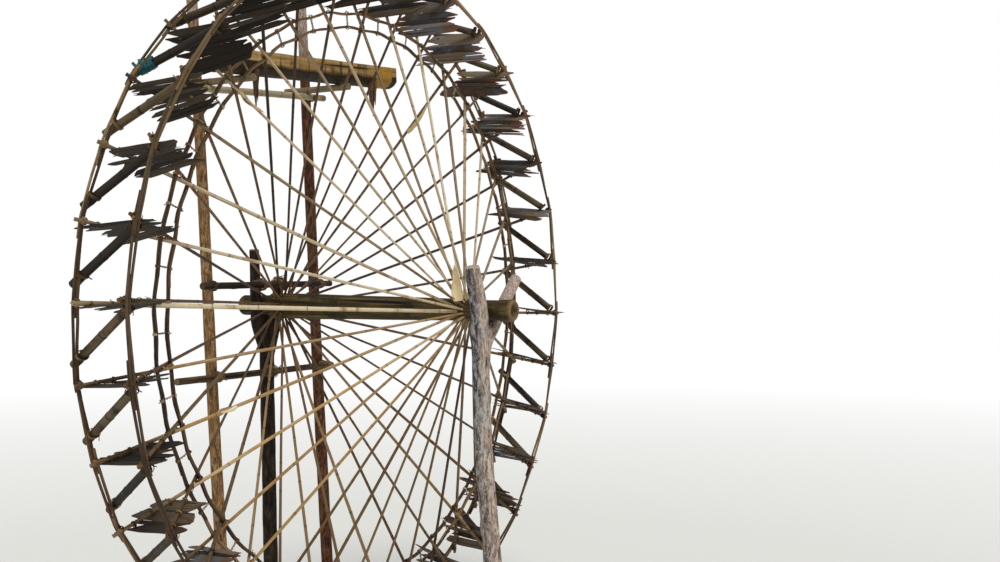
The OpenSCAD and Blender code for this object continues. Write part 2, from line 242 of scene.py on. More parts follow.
def skin_mesh(mesh, material, grain, tone, mark):
    """Gives a mesh its material, and what the material reads from it at each point."""
    for name, values in (("grain", grain), ("tone", tone), ("mark", mark)):
        kind, field = ("FLOAT_VECTOR", "vector") if name == "grain" else ("FLOAT", "value")
        attribute = mesh.attributes.new(name, kind, "POINT")
        attribute.data.foreach_set(field, np.asarray(values, np.float32).ravel())
    mesh.materials.clear()
    mesh.materials.append(material)
    mesh.shade_smooth()


def place(obj, body, node=None):
    link(obj)
    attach(obj, body)
    if node:
        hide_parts(node)


# Places beside a cane's joint, and the share of its swelling there
CANE_JOINT = ((-0.014, 0.0), (-0.005, 0.35), (0.0, 1.0), (0.003, 0.1), (0.007, 0.55), (0.016, 0.0))
CANE_STEPS = 8
TURN_STEPS = 12


def cane(shape, a, b, r0, r1, rng, joint, bow, section=ROUND_12, tone=None, swell=0.10):
    """A bamboo cane from a to b, with swollen joints and a slight bow."""
    a, b = np.array([a, b], float)
    length = np.linalg.norm(b - a)
    ahead = (b - a) / length
    across = unit(np.cross(ahead, [0.3, 0.9, 0.2]))
    up = np.cross(ahead, across)
    swelling = {0.0: 0.0, length: 0.0}
    s = joint * rng.uniform(0.2, 0.9)
    while s < length - 0.02:
        swelling.update({s + offset: share for offset, share in CANE_JOINT if 0 < s + offset < length})
        s += joint * rng.uniform(0.75, 1.25)
    for i in range(1, CANE_STEPS):
        swelling.setdefault(length * i / CANE_STEPS, 0.0)
    steps = np.array(sorted(swelling))
    lift = np.array([swelling[x] for x in steps])
    share = steps / length
    bend = bow * np.sin(math.pi * share) * rng.uniform(-1, 1)
    sway = bow * np.sin(2 * math.pi * share) * rng.uniform(-0.5, 0.5)
    path = a + np.outer(steps, ahead) + np.outer(bend, across) + np.outer(sway, up)
    radius = (r0 + (r1 - r0) * share) * (1 + swell * lift)
    shape.sweep(path, across, radius, section=section, rng=rng, tone=tone, mark=lift)


def lashing(shape, centre, ahead, wide, tall, across, count, rng, strip=0.0034, pitch=0.006):
    """Turns of a split wound round the direction ahead, with a loose end."""
    ahead = unit(ahead)
    across = unit(across - (across @ ahead) * ahead)
    up = np.cross(ahead, across)
    steps = int(TURN_STEPS * count) + 1
    a = np.linspace(0, 2 * math.pi * count, steps) + rng.uniform(0, 6)
    run = np.linspace(-0.5, 0.5, steps) * pitch * count
    loose = 1 + 0.06 * np.sin(a * 0.7 + rng.uniform(0, 6))
    path = (centre + np.outer(np.cos(a) * wide * loose, across)
            + np.outer(np.sin(a) * tall * loose, up) + np.outer(run, ahead))
    tail = path[-1] + (path[-1] - path[-2]) * 2 + ahead * rng.uniform(-0.01, 0.01)
    shape.sweep(np.vstack([path, tail]), ahead, strip, strip * 0.45, section=THONG, rng=rng)


# Materials

def linear(colour, share=1.0):
    """The linear form of an sRGB colour given as 0 to 255, darkened to a share."""
    parts = [c / 255 / 12.92 if c / 255 <= 0.04045 else ((c / 255 + 0.055) / 1.055) ** 2.4 for c in colour]
    return tuple(c * share for c in parts) + (1.0,)


class Nodes:
    """The node tree of a material or world."""

    def __init__(self, owner):
        owner.use_nodes = True
        self.tree = owner.node_tree
        self.tree.nodes.clear()

    def node(self, kind, values=None, **settings):
        made = self.tree.nodes.new(kind)
        for key, value in settings.items():
            setattr(made, key, value)
        for key, value in (values or {}).items():
            value = getattr(value, "socket", value)
            if isinstance(value, bpy.types.NodeSocket):
                self.tree.links.new(value, made.inputs[key])
            else:
                made.inputs[key].default_value = value
        return made


class Field:
    """A value or colour that varies over a surface. Arithmetic on it adds maths nodes."""

    def __init__(self, surface, socket):
        self.surface, self.socket = surface, socket

    def maths(self, operation, a, b):
        return self.surface.field("ShaderNodeMath", 0, {0: a, 1: b}, operation=operation)

    def __add__(self, other):
        return self.maths("ADD", self, other)

    def __sub__(self, other):
        return self.maths("SUBTRACT", self, other)

    def __rsub__(self, other):
        return self.maths("SUBTRACT", other, self)

    def __mul__(self, other):
        return self.maths("MULTIPLY", self, other)

    def squared(self):
        return self.maths("POWER", self, 2.0)

    def root(self):
        return self.maths("SQRT", self, 0.0)

    def clamped(self):
        """Keeps the last sum or product between 0 and 1."""
        self.socket.node.use_clamp = True
        return self


class Surface(Nodes):
    """A material built on one Principled shader."""

    def __init__(self, name, roughness=0.6, specular=0.4):
        self.material = bpy.data.materials.new(name)
        super().__init__(self.material)
        sheen = {"Roughness": roughness, "Specular IOR Level": specular}
        self.shader = self.node("ShaderNodeBsdfPrincipled", sheen)
        self.output = self.node("ShaderNodeOutputMaterial", {0: self.shader.outputs[0]})

    def field(self, kind, output, values=None, **settings):
        return Field(self, self.node(kind, values, **settings).outputs[output])

    def attribute(self, name, output="Fac"):
        return self.field("ShaderNodeAttribute", output, attribute_name=name)

    def scaled(self, source, scale):
        return self.field("ShaderNodeMapping", 0, {"Vector": source, "Scale": scale})

    def grain(self, across, along):
        return self.scaled(self.attribute("grain", "Vector"), (across, across, along))

    def place(self, scale):
        return self.scaled(self.field("ShaderNodeTexCoord", "Object"), (scale, scale, scale))

    def parts(self, vector):
        made = self.node("ShaderNodeSeparateXYZ", {0: vector})
        return [Field(self, socket) for socket in made.outputs]

    def noise(self, vector, detail=4.0, rough=0.6, distortion=0.0):
        shape = {"Scale": 1.0, "Detail": detail, "Roughness": rough, "Distortion": distortion}
        return self.field("ShaderNodeTexNoise", "Fac", {"Vector": vector, **shape})

    def ramp(self, factor, places, colours):
        made = self.node("ShaderNodeValToRGB", {"Fac": factor})
        elements = made.color_ramp.elements
        while len(elements) < len(places):
            elements.new(0.5)
        for element, at, colour in zip(elements, places, colours):
            element.position, element.color = at, as_linear(colour)
        return Field(self, made.outputs["Color"])

    def step(self, factor, low, high):
        """From 0 where the factor is low to 1 where it is high."""
        limits = {"Value": factor, "From Min": low, "From Max": high}
        return self.field("ShaderNodeMapRange", "Result", limits)

    def blend(self, factor, a, b):
        return self.field("ShaderNodeMix", 2, {0: factor, 6: as_linear(a), 7: as_linear(b)}, data_type="RGBA")

    def coat(self, share, colour):
        """Lays a colour over the one so far."""
        self.colour = self.blend(share, self.colour, colour)

    def finish(self, height, distance, roughness=None):
        bump = self.node("ShaderNodeBump", {"Height": height, "Distance": distance})
        self.tree.links.new(bump.outputs[0], self.shader.inputs["Normal"])
        self.tree.links.new(self.colour.socket, self.shader.inputs["Base Color"])
        if roughness is not None:
            self.tree.links.new(roughness.socket, self.shader.inputs["Roughness"])
        return self.material


def as_linear(colour):
    """A plain sRGB colour made linear. A field or a linear colour stays as it is."""
    return linear(colour) if isinstance(colour, tuple) and len(colour) == 3 else colour


BAMBOO_STOPS = (0.22, 0.48, 0.78)
ZONE_STOPS = (0.25, 0.5, 0.78)
SLAT_STOPS = (0.25, 0.5, 0.8)
BARK_STOPS = (0.42, 0.52, 0.63)
SHADED_STOPS = (0.43, 0.52, 0.60)
WOOD_STOPS = (0.3, 0.5, 0.72)
BARE_STOPS = (0.38, 0.5, 0.62)
BARE_WOOD = ((96, 72, 60), (186, 162, 146), (228, 212, 200))
COLD_GREYS = ((58, 60, 68), (122, 124, 134))


def cane_surface(name, dark, mid, light, joint, stain, stain_share=0.5, roughness=0.5,
                 low_down=(), shade_under_hub=(), rim=()):
    """Bamboo skin: fibres, stains, dark joints, a tone for each cane, other colours in parts of the wheel,
    and painted shade on the spokes below the hub.
    """
    s = Surface(name, roughness, specular=0.35)
    fibre = s.noise(s.grain(260, 5), detail=3)
    streak = s.noise(s.grain(60, 1.4), detail=5)
    patch = s.noise(s.place(7), detail=5, rough=0.65)
    level = streak * 0.55 + s.attribute("tone") * 0.45 + (fibre - 0.5) * 0.5
    s.colour = s.ramp(level, BAMBOO_STOPS, (dark, mid, light))
    stained = s.step(patch, 0.62 - 0.2 * stain_share, 0.78 - 0.2 * stain_share)
    s.coat(stained, stain)
    x, _, z = s.parts(s.place(1))
    drop = AXLE_Z - z
    low = ((s.step(z, 2.95, 2.25) + (patch - 0.5) * 1.2) * 0.75).clamped()
    # Painted shade: spokes below the hub that point down or to the right are darkened, as if in the hub's
    # shade.
    hub_shade = s.step(x + drop * 0.75, -0.05, 0.35) * s.step(drop, 0.03, 0.2) * 0.8
    outward = s.step((x.squared() + (z - AXLE_Z).squared()).root(), 1.95, 2.35) * 0.85
    for share, colours in ((low, low_down), (hub_shade, shade_under_hub), (outward, rim)):
        if colours:
            s.coat(share, s.ramp(level, ZONE_STOPS, colours))
    s.coat(s.step(s.attribute("mark"), 0.25, 0.9), joint)
    worn = s.step(patch, 0.2, 0.8) * 0.25 + (roughness - 0.1)
    return s.finish(fibre * 0.6 + streak * 0.6, 0.0012, worn)


def slat_surface(name, dark, mid, light, red):
    """Crushed bamboo boards: deep cracks along the grain, grey where dry and red-brown where rusty, and
    painted shade darkening the boards up on the left of the wheel.
    """
    s = Surface(name, roughness=0.75, specular=0.25)
    fibre = s.noise(s.grain(320, 3), detail=4, rough=0.7)
    crack = s.step(s.noise(s.grain(90, 1.1), detail=2), 0.40, 0.33)
    patch = s.noise(s.place(3.2), detail=4)
    level = fibre * 0.6 + s.attribute("tone") * 0.5
    s.colour = s.ramp(level, SLAT_STOPS, (dark, mid, light))
    x, _, z = s.parts(s.place(1))
    # Painted shade: boards up on the left of the wheel are darkened and get no grey or rust; the rest is
    # clear of it.
    clear_of_painted_shade = s.step(x - z * 0.7, -3.6, -2.6)
    s.coat(1.0 - clear_of_painted_shade, s.blend(0.66, s.colour, dark))
    cold = s.step(patch, 0.50, 0.42) * clear_of_painted_shade
    s.coat(cold * 0.6, s.ramp(level, (0.3, 0.8), COLD_GREYS))
    rusty = (s.step(patch, 0.6, 0.7) * 0.6 + s.attribute("mark")).clamped()
    s.coat(rusty * clear_of_painted_shade * 0.55, red)
    # Cracks painted near-black: painted shade inside them.
    s.coat(crack, linear(dark, 0.25))
    return s.finish(fibre * 0.5 - crack * 1.2, 0.003)


def bark_surface(name, dark, mid, light, lichen, lichen_share, ridge=28, relief=0.008, shaded=()):
    """Bark: ridges along the limb, cracks, lichen, a painted shaded side, and bare wood where the mark says.
    """
    s = Surface(name, roughness=0.85, specular=0.2)
    ridges = s.noise(s.grain(ridge * 1.3, ridge * 0.36), detail=8, rough=0.72, distortion=0.5)
    fine = s.noise(s.grain(ridge * 5, ridge), detail=6, rough=0.7)
    patch = s.noise(s.place(9), detail=7, rough=0.7)
    broad = s.noise(s.place(2.2), detail=2)
    level = ridges * 0.75 + fine * 0.3
    s.colour = s.ramp(level, BARK_STOPS, (dark, mid, light))
    if shaded:
        # Painted shade: one fixed side of the post is greyer and darker, less so low down.
        x, y, _ = s.parts(s.attribute("grain", "Vector"))
        painted_shade_side = s.step(y * 14 - x * 9 + (fine - 0.5) * 2.2, -0.25, 0.35)
        height = s.parts(s.place(1))[2]
        share = s.step(height, 1.6, 2.3) * 0.45 + 0.5
        s.coat(painted_shade_side * share, s.ramp(level, SHADED_STOPS, shaded))
    spots = s.step(patch * 0.8 + broad * 0.35, 0.66 - 0.14 * lichen_share, 0.72 - 0.14 * lichen_share)
    s.coat(spots * 0.75, lichen)
    s.coat(s.attribute("mark"), s.ramp(fine, BARE_STOPS, BARE_WOOD))
    return s.finish(ridges + fine * 0.35, relief)


def wood_surface(name, dark, mid, light, stain, end, stain_share=0.4, along=2.0, across=55, shade_and_drips=None):
    """Bare wood: grain lines, drying checks, stains, painted shade on the underside with drip stains, and
    sawn ends where the mark says.
    """
    s = Surface(name, roughness=0.72, specular=0.25)
    lines = s.noise(s.grain(across, along), detail=6)
    checks = s.noise(s.grain(across * 0.5, along * 0.45), detail=2)
    patch = s.noise(s.place(3.5), detail=6, rough=0.65)
    s.colour = s.ramp(lines, WOOD_STOPS, (dark, mid, light))
    stained = s.step(patch, 0.62 - 0.2 * stain_share, 0.74 - 0.2 * stain_share)
    s.coat(stained, stain)
    if shade_and_drips:
        # Painted shade: below the section's lower edge the wood is darkened; the same colour also lays the
        # drip stains.
        edge = s.parts(s.attribute("grain", "Vector"))[1] + (patch - 0.5) * 0.10
        s.coat(s.step(edge, -0.02, -0.05) * 0.93, shade_and_drips)
        drips = s.step(s.noise(s.grain(2, 26), detail=2), 0.56, 0.66)
        s.coat(drips * 0.7, shade_and_drips)
    split = s.step(checks, 0.385, 0.345)
    # Drying checks painted near-black: painted shade inside them.
    s.coat(split, linear(dark, 0.2))
    sawn = s.ramp(s.noise(s.place(60), detail=5), (0.3, 0.7), (linear(end, 0.6), end))
    s.coat(s.attribute("mark"), sawn)
    return s.finish(lines - split * 1.5, 0.003)


NEAR_CANE = cane_surface(
    "near_cane", (104, 82, 54), (176, 150, 112), (226, 212, 182), joint=(80, 56, 33), stain=(142, 104, 58),
    stain_share=0.4, roughness=0.4, low_down=((88, 60, 26), (152, 110, 46), (190, 150, 74)),
    # Painted shade for the spokes below the hub
    shade_under_hub=((36, 27, 13), (84, 63, 32), (134, 104, 58)),
    rim=((44, 32, 19), (86, 65, 40), (132, 108, 72)))
FAR_CANE = cane_surface(
    "far_cane", (38, 25, 15), (82, 55, 32), (126, 96, 62), joint=(30, 21, 13), stain=(54, 38, 22),
    stain_share=0.6, low_down=((84, 62, 36), (126, 97, 60), (168, 140, 96)))
# Hoops and ties darker towards the bottom of the wheel
LOW_HOOP = ((31, 19, 11), (74, 48, 27), (132, 100, 64))
HOOP_CANE = cane_surface(
    "hoop_cane", (54, 40, 25), (122, 97, 64), (192, 168, 126), joint=(40, 28, 17), stain=(70, 48, 28),
    stain_share=0.45, roughness=0.6, low_down=LOW_HOOP)
TIE_CANE = cane_surface(
    "tie_cane", (52, 36, 21), (104, 76, 46), (166, 138, 96), joint=(40, 28, 17), stain=(66, 45, 26),
    roughness=0.6, low_down=LOW_HOOP)
TUBE_CANE = cane_surface(
    "tube_cane", (26, 20, 12), (60, 47, 29), (110, 92, 62), joint=(20, 14, 9), stain=(36, 27, 15),
    stain_share=0.6)
BEARER_CANE = cane_surface(
    "bearer_cane", (92, 74, 50), (146, 128, 96), (190, 176, 142), joint=(70, 54, 34), stain=(100, 84, 58),
    stain_share=0.4)
# The boards' own grey-brown, made darker overall as painted shade.
SLAT_CANE = slat_surface("slat_cane", (28, 22, 16), (68, 55, 41), (128, 112, 90), red=(122, 62, 33))
NEAR_BARK = bark_surface(
    "near_post_bark", (82, 66, 54), (165, 146, 130), (220, 203, 189), lichen=(190, 190, 184),
    lichen_share=0.2, ridge=34, relief=0.006, shaded=((36, 34, 34), (84, 83, 85), (180, 181, 184)))
FAR_BARK = bark_surface(
    "far_post_bark", (17, 13, 10), (40, 31, 23), (70, 57, 42), lichen=(80, 74, 62), lichen_share=0.05)
LEFT_POLE = bark_surface(
    "left_pole", (68, 47, 26), (138, 102, 64), (188, 154, 110), lichen=(118, 106, 82), lichen_share=0.15,
    ridge=40, relief=0.003)
RIGHT_POLE = bark_surface(
    "right_pole", (42, 25, 17), (90, 54, 36), (134, 94, 68), lichen=(70, 62, 50), lichen_share=0.1,
    ridge=40, relief=0.003)
DARK_BAR = wood_surface(
    "dark_bar", (22, 16, 11), (48, 36, 26), (84, 66, 46), stain=(32, 23, 16), end=(96, 72, 46))
LOWER_BAR = wood_surface(
    "lower_bar_wood", (36, 26, 17), (72, 55, 36), (120, 98, 66), stain=(46, 34, 22), end=(140, 112, 74))
AXLE_WOOD = wood_surface(
    "axle_log", (30, 25, 13), (78, 63, 34), (124, 106, 60), stain=(46, 38, 18), end=(146, 116, 76),
    stain_share=0.6, along=1.6, across=34)
TROUGH_WOOD = wood_surface(
    "trough_wood", (112, 82, 44), (176, 138, 82), (212, 182, 128), stain=(96, 70, 38), end=(212, 158, 54),
    along=1.4, across=30, shade_and_drips=(30, 24, 15))
THONG_SKIN = cane_surface(
    "thong", (48, 33, 20), (96, 70, 42), (156, 126, 84), joint=(34, 24, 14), stain=(66, 45, 27),
    roughness=0.65)
VINE_SKIN = cane_surface(
    "vine", (66, 50, 31), (132, 108, 74), (206, 188, 148), joint=(60, 44, 27), stain=(92, 70, 44),
    stain_share=0.3, roughness=0.7)
SHEATH_SKIN = cane_surface(
    "culm_sheath", (190, 158, 108), (234, 212, 164), (246, 234, 204), joint=(150, 112, 64),
    stain=(176, 134, 76), stain_share=0.35, roughness=0.75)
WRAP_SKIN = cane_surface(
    "plastic_wrap", (20, 66, 72), (38, 108, 114), (98, 158, 162), joint=(20, 60, 66), stain=(28, 84, 92),
    stain_share=0.3, roughness=0.35)


# Spokes: bamboo canes from each hub to the far rim

# Side and pair of the one thick, pale spoke
THICK_SPOKE = (-1, 8)


def spoke_point(k, side, r):
    return wheel_point(pair_angle(k), r, -side * spread(k, r), -side * SPOKE_SIDE)


def spoke_canes(name, side, first, material, slot):
    shape = Shape()
    for k in range(first, first + HALF):
        rng = random.Random(f"spoke {side} {k}")
        tip = RIM_R + SPOKE_TIP * rng.uniform(0.45, 0.98)
        thick, tone = rng.uniform(0.0100, 0.0132), None
        if (side, k) == THICK_SPOKE:
            thick, tone = 0.0165, 1.5
        foot, end = (spoke_point(k, side, r) for r in (log_r(side * HUB_Y) - SPOKE_FOOT, tip))
        cane(shape, foot, end, thick * 0.72, thick, rng, joint=rng.uniform(0.22, 0.4), bow=0.007, tone=tone)
    shape.build(name, material, WHEEL, slot)


spoke_canes("near_spokes_left", -1, 0, NEAR_CANE, "near_cane")
spoke_canes("near_spokes_right", -1, HALF, NEAR_CANE, "near_cane")
spoke_canes("far_spokes_left", 1, 0, FAR_CANE, "far_cane")
spoke_canes("far_spokes_right", 1, HALF, FAR_CANE, "far_cane")


# Outer hoops: pairs of long splits, lapped at the spoke pairs

SPLIT_W = 0.0082
SPLIT_T = 0.0060
SPLIT_ROWS = 0.0108
POLYGON_SHARE = 0.75


def lapped_bars(kind, side):
    """Row, first pair and seeded draws of each bar of a hoop. The two rows start one pair apart."""
    for row in (-1, 1):
        for start in range(0 if row < 0 else 1, PAIRS, 2):
            yield row, start, random.Random(f"{kind} {side} {row} {start}")


def node_seat(k):
    return spread(k, RIM_R) + (SPOKE_FLAT + SPLIT_T) / math.cos(lean(k))


def rim_place(u):
    """Angle, radius and distance from the wheel's middle of the outer hoop, u pairs round the wheel."""
    k = math.floor(u)
    chord = RIM_R * math.cos(HALF_PITCH) / math.cos(math.radians((u - k - 0.5) * PITCH))
    radius = chord * POLYGON_SHARE + RIM_R * (1 - POLYGON_SHARE)
    share = (1 - math.cos((u - k) * math.pi)) / 2
    return pair_angle(u), radius, node_seat(k) * (1 - share) + node_seat(k + 1) * share


def outer_hoop(name, side):
    shape = Shape()
    for row, start, rng in lapped_bars("hoop", side):
        u0, u1 = start - rng.uniform(0.15, 0.35), start + 2 + rng.uniform(0.1, 0.3)
        wander = rng.uniform(-0.0015, 0.0015)
        path = []
        for u in evenly(u0, u1, 18):
            angle, radius, y = rim_place(u)
            lap = 1 if u - start > 1 else 0.5 - 0.5 * math.cos(math.pi * max(0, u - start))
            out = radius + row * SPLIT_ROWS + wander * math.sin(9 * u)
            path.append(wheel_point(angle, out, side * (y + SPLIT_T * 2.1 * lap)))
        width, height = SPLIT_W * rng.uniform(0.85, 1.08), SPLIT_T * rng.uniform(0.8, 1.0)
        shape.sweep(path, wheel_axes(pair_angle(start + 1))[OUT], width, height, section=SLAB, rng=rng)
    shape.build(name, HOOP_CANE, WHEEL, "hoop_cane")


outer_hoop("near_hoop", -1)
outer_hoop("far_hoop", 1)


# Tie hoops in the crotches of the crossings, and the twisted ties between them

TIE_PINCH = 0.012


def tie_radius(side):
    return CROSS_R + side * (SPOKE_FLAT + TIE_R + SEAT) / math.sin(lean(0))


def tie_hoop(name, side):
    shape = Shape()
    for row, start, rng in lapped_bars("tie", side):
        u0, u1 = start - 0.6 - rng.uniform(0, 0.2), start + 1.6 + rng.uniform(0, 0.2)
        path = []
        for u in evenly(u0, u1, 14):
            pinch = side * TIE_PINCH * math.sin(math.pi * u) ** 2
            out = tie_radius(side) - pinch + 0.002 * math.sin(7 * u + start)
            path.append(wheel_point(pair_angle(u), out, row * (0.0045 + 0.004 * (u - u0) / (u1 - u0))))
        middle = wheel_axes(pair_angle(start + 0.5))[OUT]
        shape.sweep(path, middle, TIE_R * rng.uniform(0.9, 1.1), 0.0045, section=SLAB, rng=rng)
    shape.build(name, TIE_CANE, WHEEL, "tie_cane")


def twisted_ties():
    """Two strands wound round each other across each bay, lashed to both tie hoops."""
    shape = Shape()
    inner, outer = tie_radius(-1) + TIE_PINCH - TIE_R, tie_radius(1) - TIE_PINCH + TIE_R
    for k in range(PAIRS):
        rng = random.Random(f"twist {k}")
        angle = bay_angle(k) + rng.uniform(-0.6, 0.6)
        axes = wheel_axes(angle)
        for strand in (0, math.pi):
            path = []
            for s in evenly(0, 1, 24):
                waist = 0.004 + 0.009 * abs(2 * s - 1) ** 3
                turn = strand + (2 * s - 1) * math.pi * 2.5
                out = inner + (outer - inner) * s
                path.append(wheel_point(angle, out, waist * math.cos(turn), waist * math.sin(turn)))
            shape.sweep(path, axes[ALONG], 0.0034, 0.0028, rng=rng)
        for r in (inner, outer):
            lashing(shape, wheel_point(angle, r), axes[ROUND], 0.011, 0.014, axes[OUT], 2.5, rng, strip=0.003)
    shape.build("tie_sticks", VINE_SKIN, WHEEL, "tie_cane")


tie_hoop("outer_tie_hoop", 1)
tie_hoop("inner_tie_hoop", -1)
twisted_ties()


# Paddles: crushed bamboo boards with ragged ends

PADDLE_R0 = RIM_R - HOOP_R - SLAT_RISE * math.tan(HALF_PITCH) - SLAT_CLEAR - PADDLE_DEPTH
SLAT_H = (PADDLE_DEPTH - (SLATS - 1) * SLAT_GAP) / SLATS
SECTOR = math.ceil(PAIRS / 4)


def paddle_boards(name, first, last):
    shape = Shape()
    for k in range(first, last + 1):
        rng = random.Random(f"paddle {k}")
        axes = wheel_axes(pair_angle(k))
        for i in range(SLATS):
            r = PADDLE_R0 + SLAT_H / 2 + i * (SLAT_H + SLAT_GAP)
            twist = math.atan(SPOKE_SIDE / spread(k, r))
            rise = slope(k) * SLAT_H / 2 + SPOKE_R * math.sin(math.pi / 8) / math.cos(lean(k))
            lift = math.tan(twist) * rise
            along = axes[ALONG] * math.cos(twist) + axes[ROUND] * math.sin(twist)
            normal = axes[ROUND] * math.cos(twist) - axes[ALONG] * math.sin(twist)
            stack = 0.003 * (SLATS - 1 - i)
            base = wheel_point(pair_angle(k), r, 0, SPOKE_FLAT + lift + SEAT) + normal * (SLAT_T / 2 + stack)
            strips(shape, base, axes[OUT], along, normal, -0.05 * (SLATS - 1 - i), rng)
    shape.build(name, SLAT_CANE, WHEEL, "slat_cane")


def strips(shape, base, across, along, normal, skew, rng):
    """One split board: strips with broken, pointed or slanting ends, and a few slivers."""
    count = rng.choice((1, 2, 2, 3))
    cuts = np.cumsum([0] + [rng.uniform(0.6, 1.4) for _ in range(count)])
    cuts = (cuts / cuts[-1] - 0.5) * (SLAT_H + SLAT_GAP * 0.8)
    reach = (-PADDLE_NEAR + rng.uniform(-0.03, 0.05), PADDLE_FAR + rng.uniform(-0.05, 0.03))
    for low, high in zip(cuts[:-1], cuts[1:]):
        middle, half = (low + high) / 2, (high - low) / 2
        y0, y1 = reach[0] + rng.uniform(-0.02, 0.05), reach[1] + rng.uniform(-0.05, 0.02)
        slant = [rng.uniform(0.025, 0.11) for _ in range(2)]
        s = np.concatenate([y0 + slant[0] * np.array([0, 0.3, 0.6, 1]), np.linspace(y0, y1, 12)[3:-3],
                            y1 - slant[1] * np.array([1, 0.6, 0.3, 0])])
        tilt, phase = skew + rng.uniform(-0.03, 0.03), rng.uniform(0, 6)
        wave = 0.0025 * np.sin(s * rng.uniform(5, 11) + phase)
        narrow, slip = np.ones(len(s)), np.zeros(len(s))
        for end in (slice(0, 4), slice(None, -5, -1)):
            cut, lean_way = rng.uniform(0.7, 0.97), rng.choice((-1, 1)) * rng.uniform(0.4, 1)
            ragged = np.array([rng.uniform(-0.08, 0.08) for _ in range(4)]) * [0, 1, 1, 0]
            narrow[end] = 1 - cut * np.array([1, 0.7, 0.4, 0]) + ragged
            slip[end] = lean_way * (1 - narrow[end]) * half
        path = base + np.outer(s, along) + np.outer(middle + tilt * s + slip, across) + np.outer(wave, normal)
        width = half * (1 + 0.04 * np.sin(s * 23 + phase)) * narrow
        tone = rng.random()
        broken = np.clip(1.6 - np.minimum(s - y0, y1 - s) / 0.045, 0, 1) * rng.uniform(0.3, 1)
        thick = SLAT_T / 2 * rng.uniform(0.6, 0.95)
        shape.sweep(path, across, width, thick, section=SLAB, rng=rng, tone=tone, mark=broken)
        for end, way in ((3, -1), (-4, 1)):
            for _ in range(rng.choice((0, 0, 1, 2))):
                start = path[end] + across * rng.uniform(-0.7, 0.7) * half - along * way * 0.02
                run = along * way * rng.uniform(0.05, 0.10)
                stray = across * rng.uniform(-0.006, 0.006) + normal * rng.uniform(-0.006, 0.006)
                shape.sweep([start, start + run * 0.6 + stray * 0.3, start + run + stray], across,
                            [0.0045, 0.0032, 0.0008], 0.0016, section=THONG, rng=rng, tone=tone, mark=0.8)


paddle_boards("left_upper_paddles", 0, SECTOR - 1)
paddle_boards("left_lower_paddles", SECTOR, HALF - 1)
paddle_boards("right_lower_paddles", HALF, HALF + SECTOR - 1)
paddle_boards("right_upper_paddles", HALF + SECTOR, PAIRS - 1)


# Lifting tubes

TUBE_IN_R = RIM_R * math.cos(HALF_PITCH) - HOOP_R * FLAT - SEAT - TUBE_R
TOP_TUBES = 12
SIDE_TUBES = (PAIRS - TOP_TUBES) // 2
# Places beside a tube's joint, how far it swells there, and how dark it is
TUBE_JOINT = ((-0.011, 0, 0), (-0.003, 0.07, 0.9), (0.001, 0.075, 1), (0.004, 0.0, 0.4), (0.008, 0.035, 0.3),
              (0.02, 0, 0))


def tube_frame(k):
    """Closed end, direction and outward direction of the tube in bay k."""
    angle = pair_angle(k) + PITCH / 2
    axes = wheel_axes(angle)
    start = wheel_point(angle, TUBE_IN_R, -TUBE_NEAR, TUBE_START - RIM_R * math.sin(HALF_PITCH))
    return start, axes[ALONG] * math.cos(TUBE_TILT) + axes[ROUND] * math.sin(TUBE_TILT), axes[OUT]


def lifting_tubes(name, first, count):
    shape = Shape()
    for k in range(first, first + count):
        rng = random.Random(f"tube {k}")
        start, ahead, across = tube_frame(k)
        r = TUBE_R * rng.uniform(0.93, 1.0)
        inner = r - TUBE_WALL
        joints = [TUBE_FLOOR]
        for spacing in ((0.22, 0.3), (0.2, 0.27)):
            joints.append(joints[-1] + rng.uniform(*spacing))
        rows = [(0, r * 0.72, 0.4), (0.002, r * 0.94, 0.2)]
        rows += [(joint + offset, r * (1 + grow), dark) for joint in joints if joint < TUBE_LEN - 0.03
                 for offset, grow, dark in TUBE_JOINT if joint + offset > 0.002]
        rows += [(TUBE_LEN - 0.001, r, 0), (TUBE_LEN, r - 0.001, 0), (TUBE_LEN, inner + 0.001, 0),
                 (TUBE_LEN - 0.001, inner, 0), (TUBE_FLOOR + 0.02, inner, 0), (TUBE_FLOOR, inner * 0.8, 0)]
        shape.revolve(start, ahead, across, rows, 20, rng.random(), rng.random())
    shape.build(name, TUBE_CANE, WHEEL, "tube_cane")


lifting_tubes("top_tubes", -TOP_TUBES // 2, TOP_TUBES)
lifting_tubes("left_tubes", TOP_TUBES // 2, SIDE_TUBES)
lifting_tubes("right_tubes", TOP_TUBES // 2 + SIDE_TUBES, SIDE_TUBES)


# Axle: an old log with two worn necks

AXLE_SIDES = 40
LUMPS = 8


def lumps(rng, run, turn, size, along=(2, 12)):
    """Smooth random relief over a limb, from the distance along it and the angle round it."""
    total = 0
    for _ in range(LUMPS):
        total = total + np.sin(run[:, None] * rng.uniform(*along) + turn[None] * rng.randint(0, 5)
                               + rng.uniform(0, 6.28))
    return 1 + size * total / math.sqrt(LUMPS)


def angle_off(turn, at):
    """Angle from at to turn, between half a turn back and half a turn on."""
    return (turn - at + math.pi) % (2 * math.pi) - math.pi


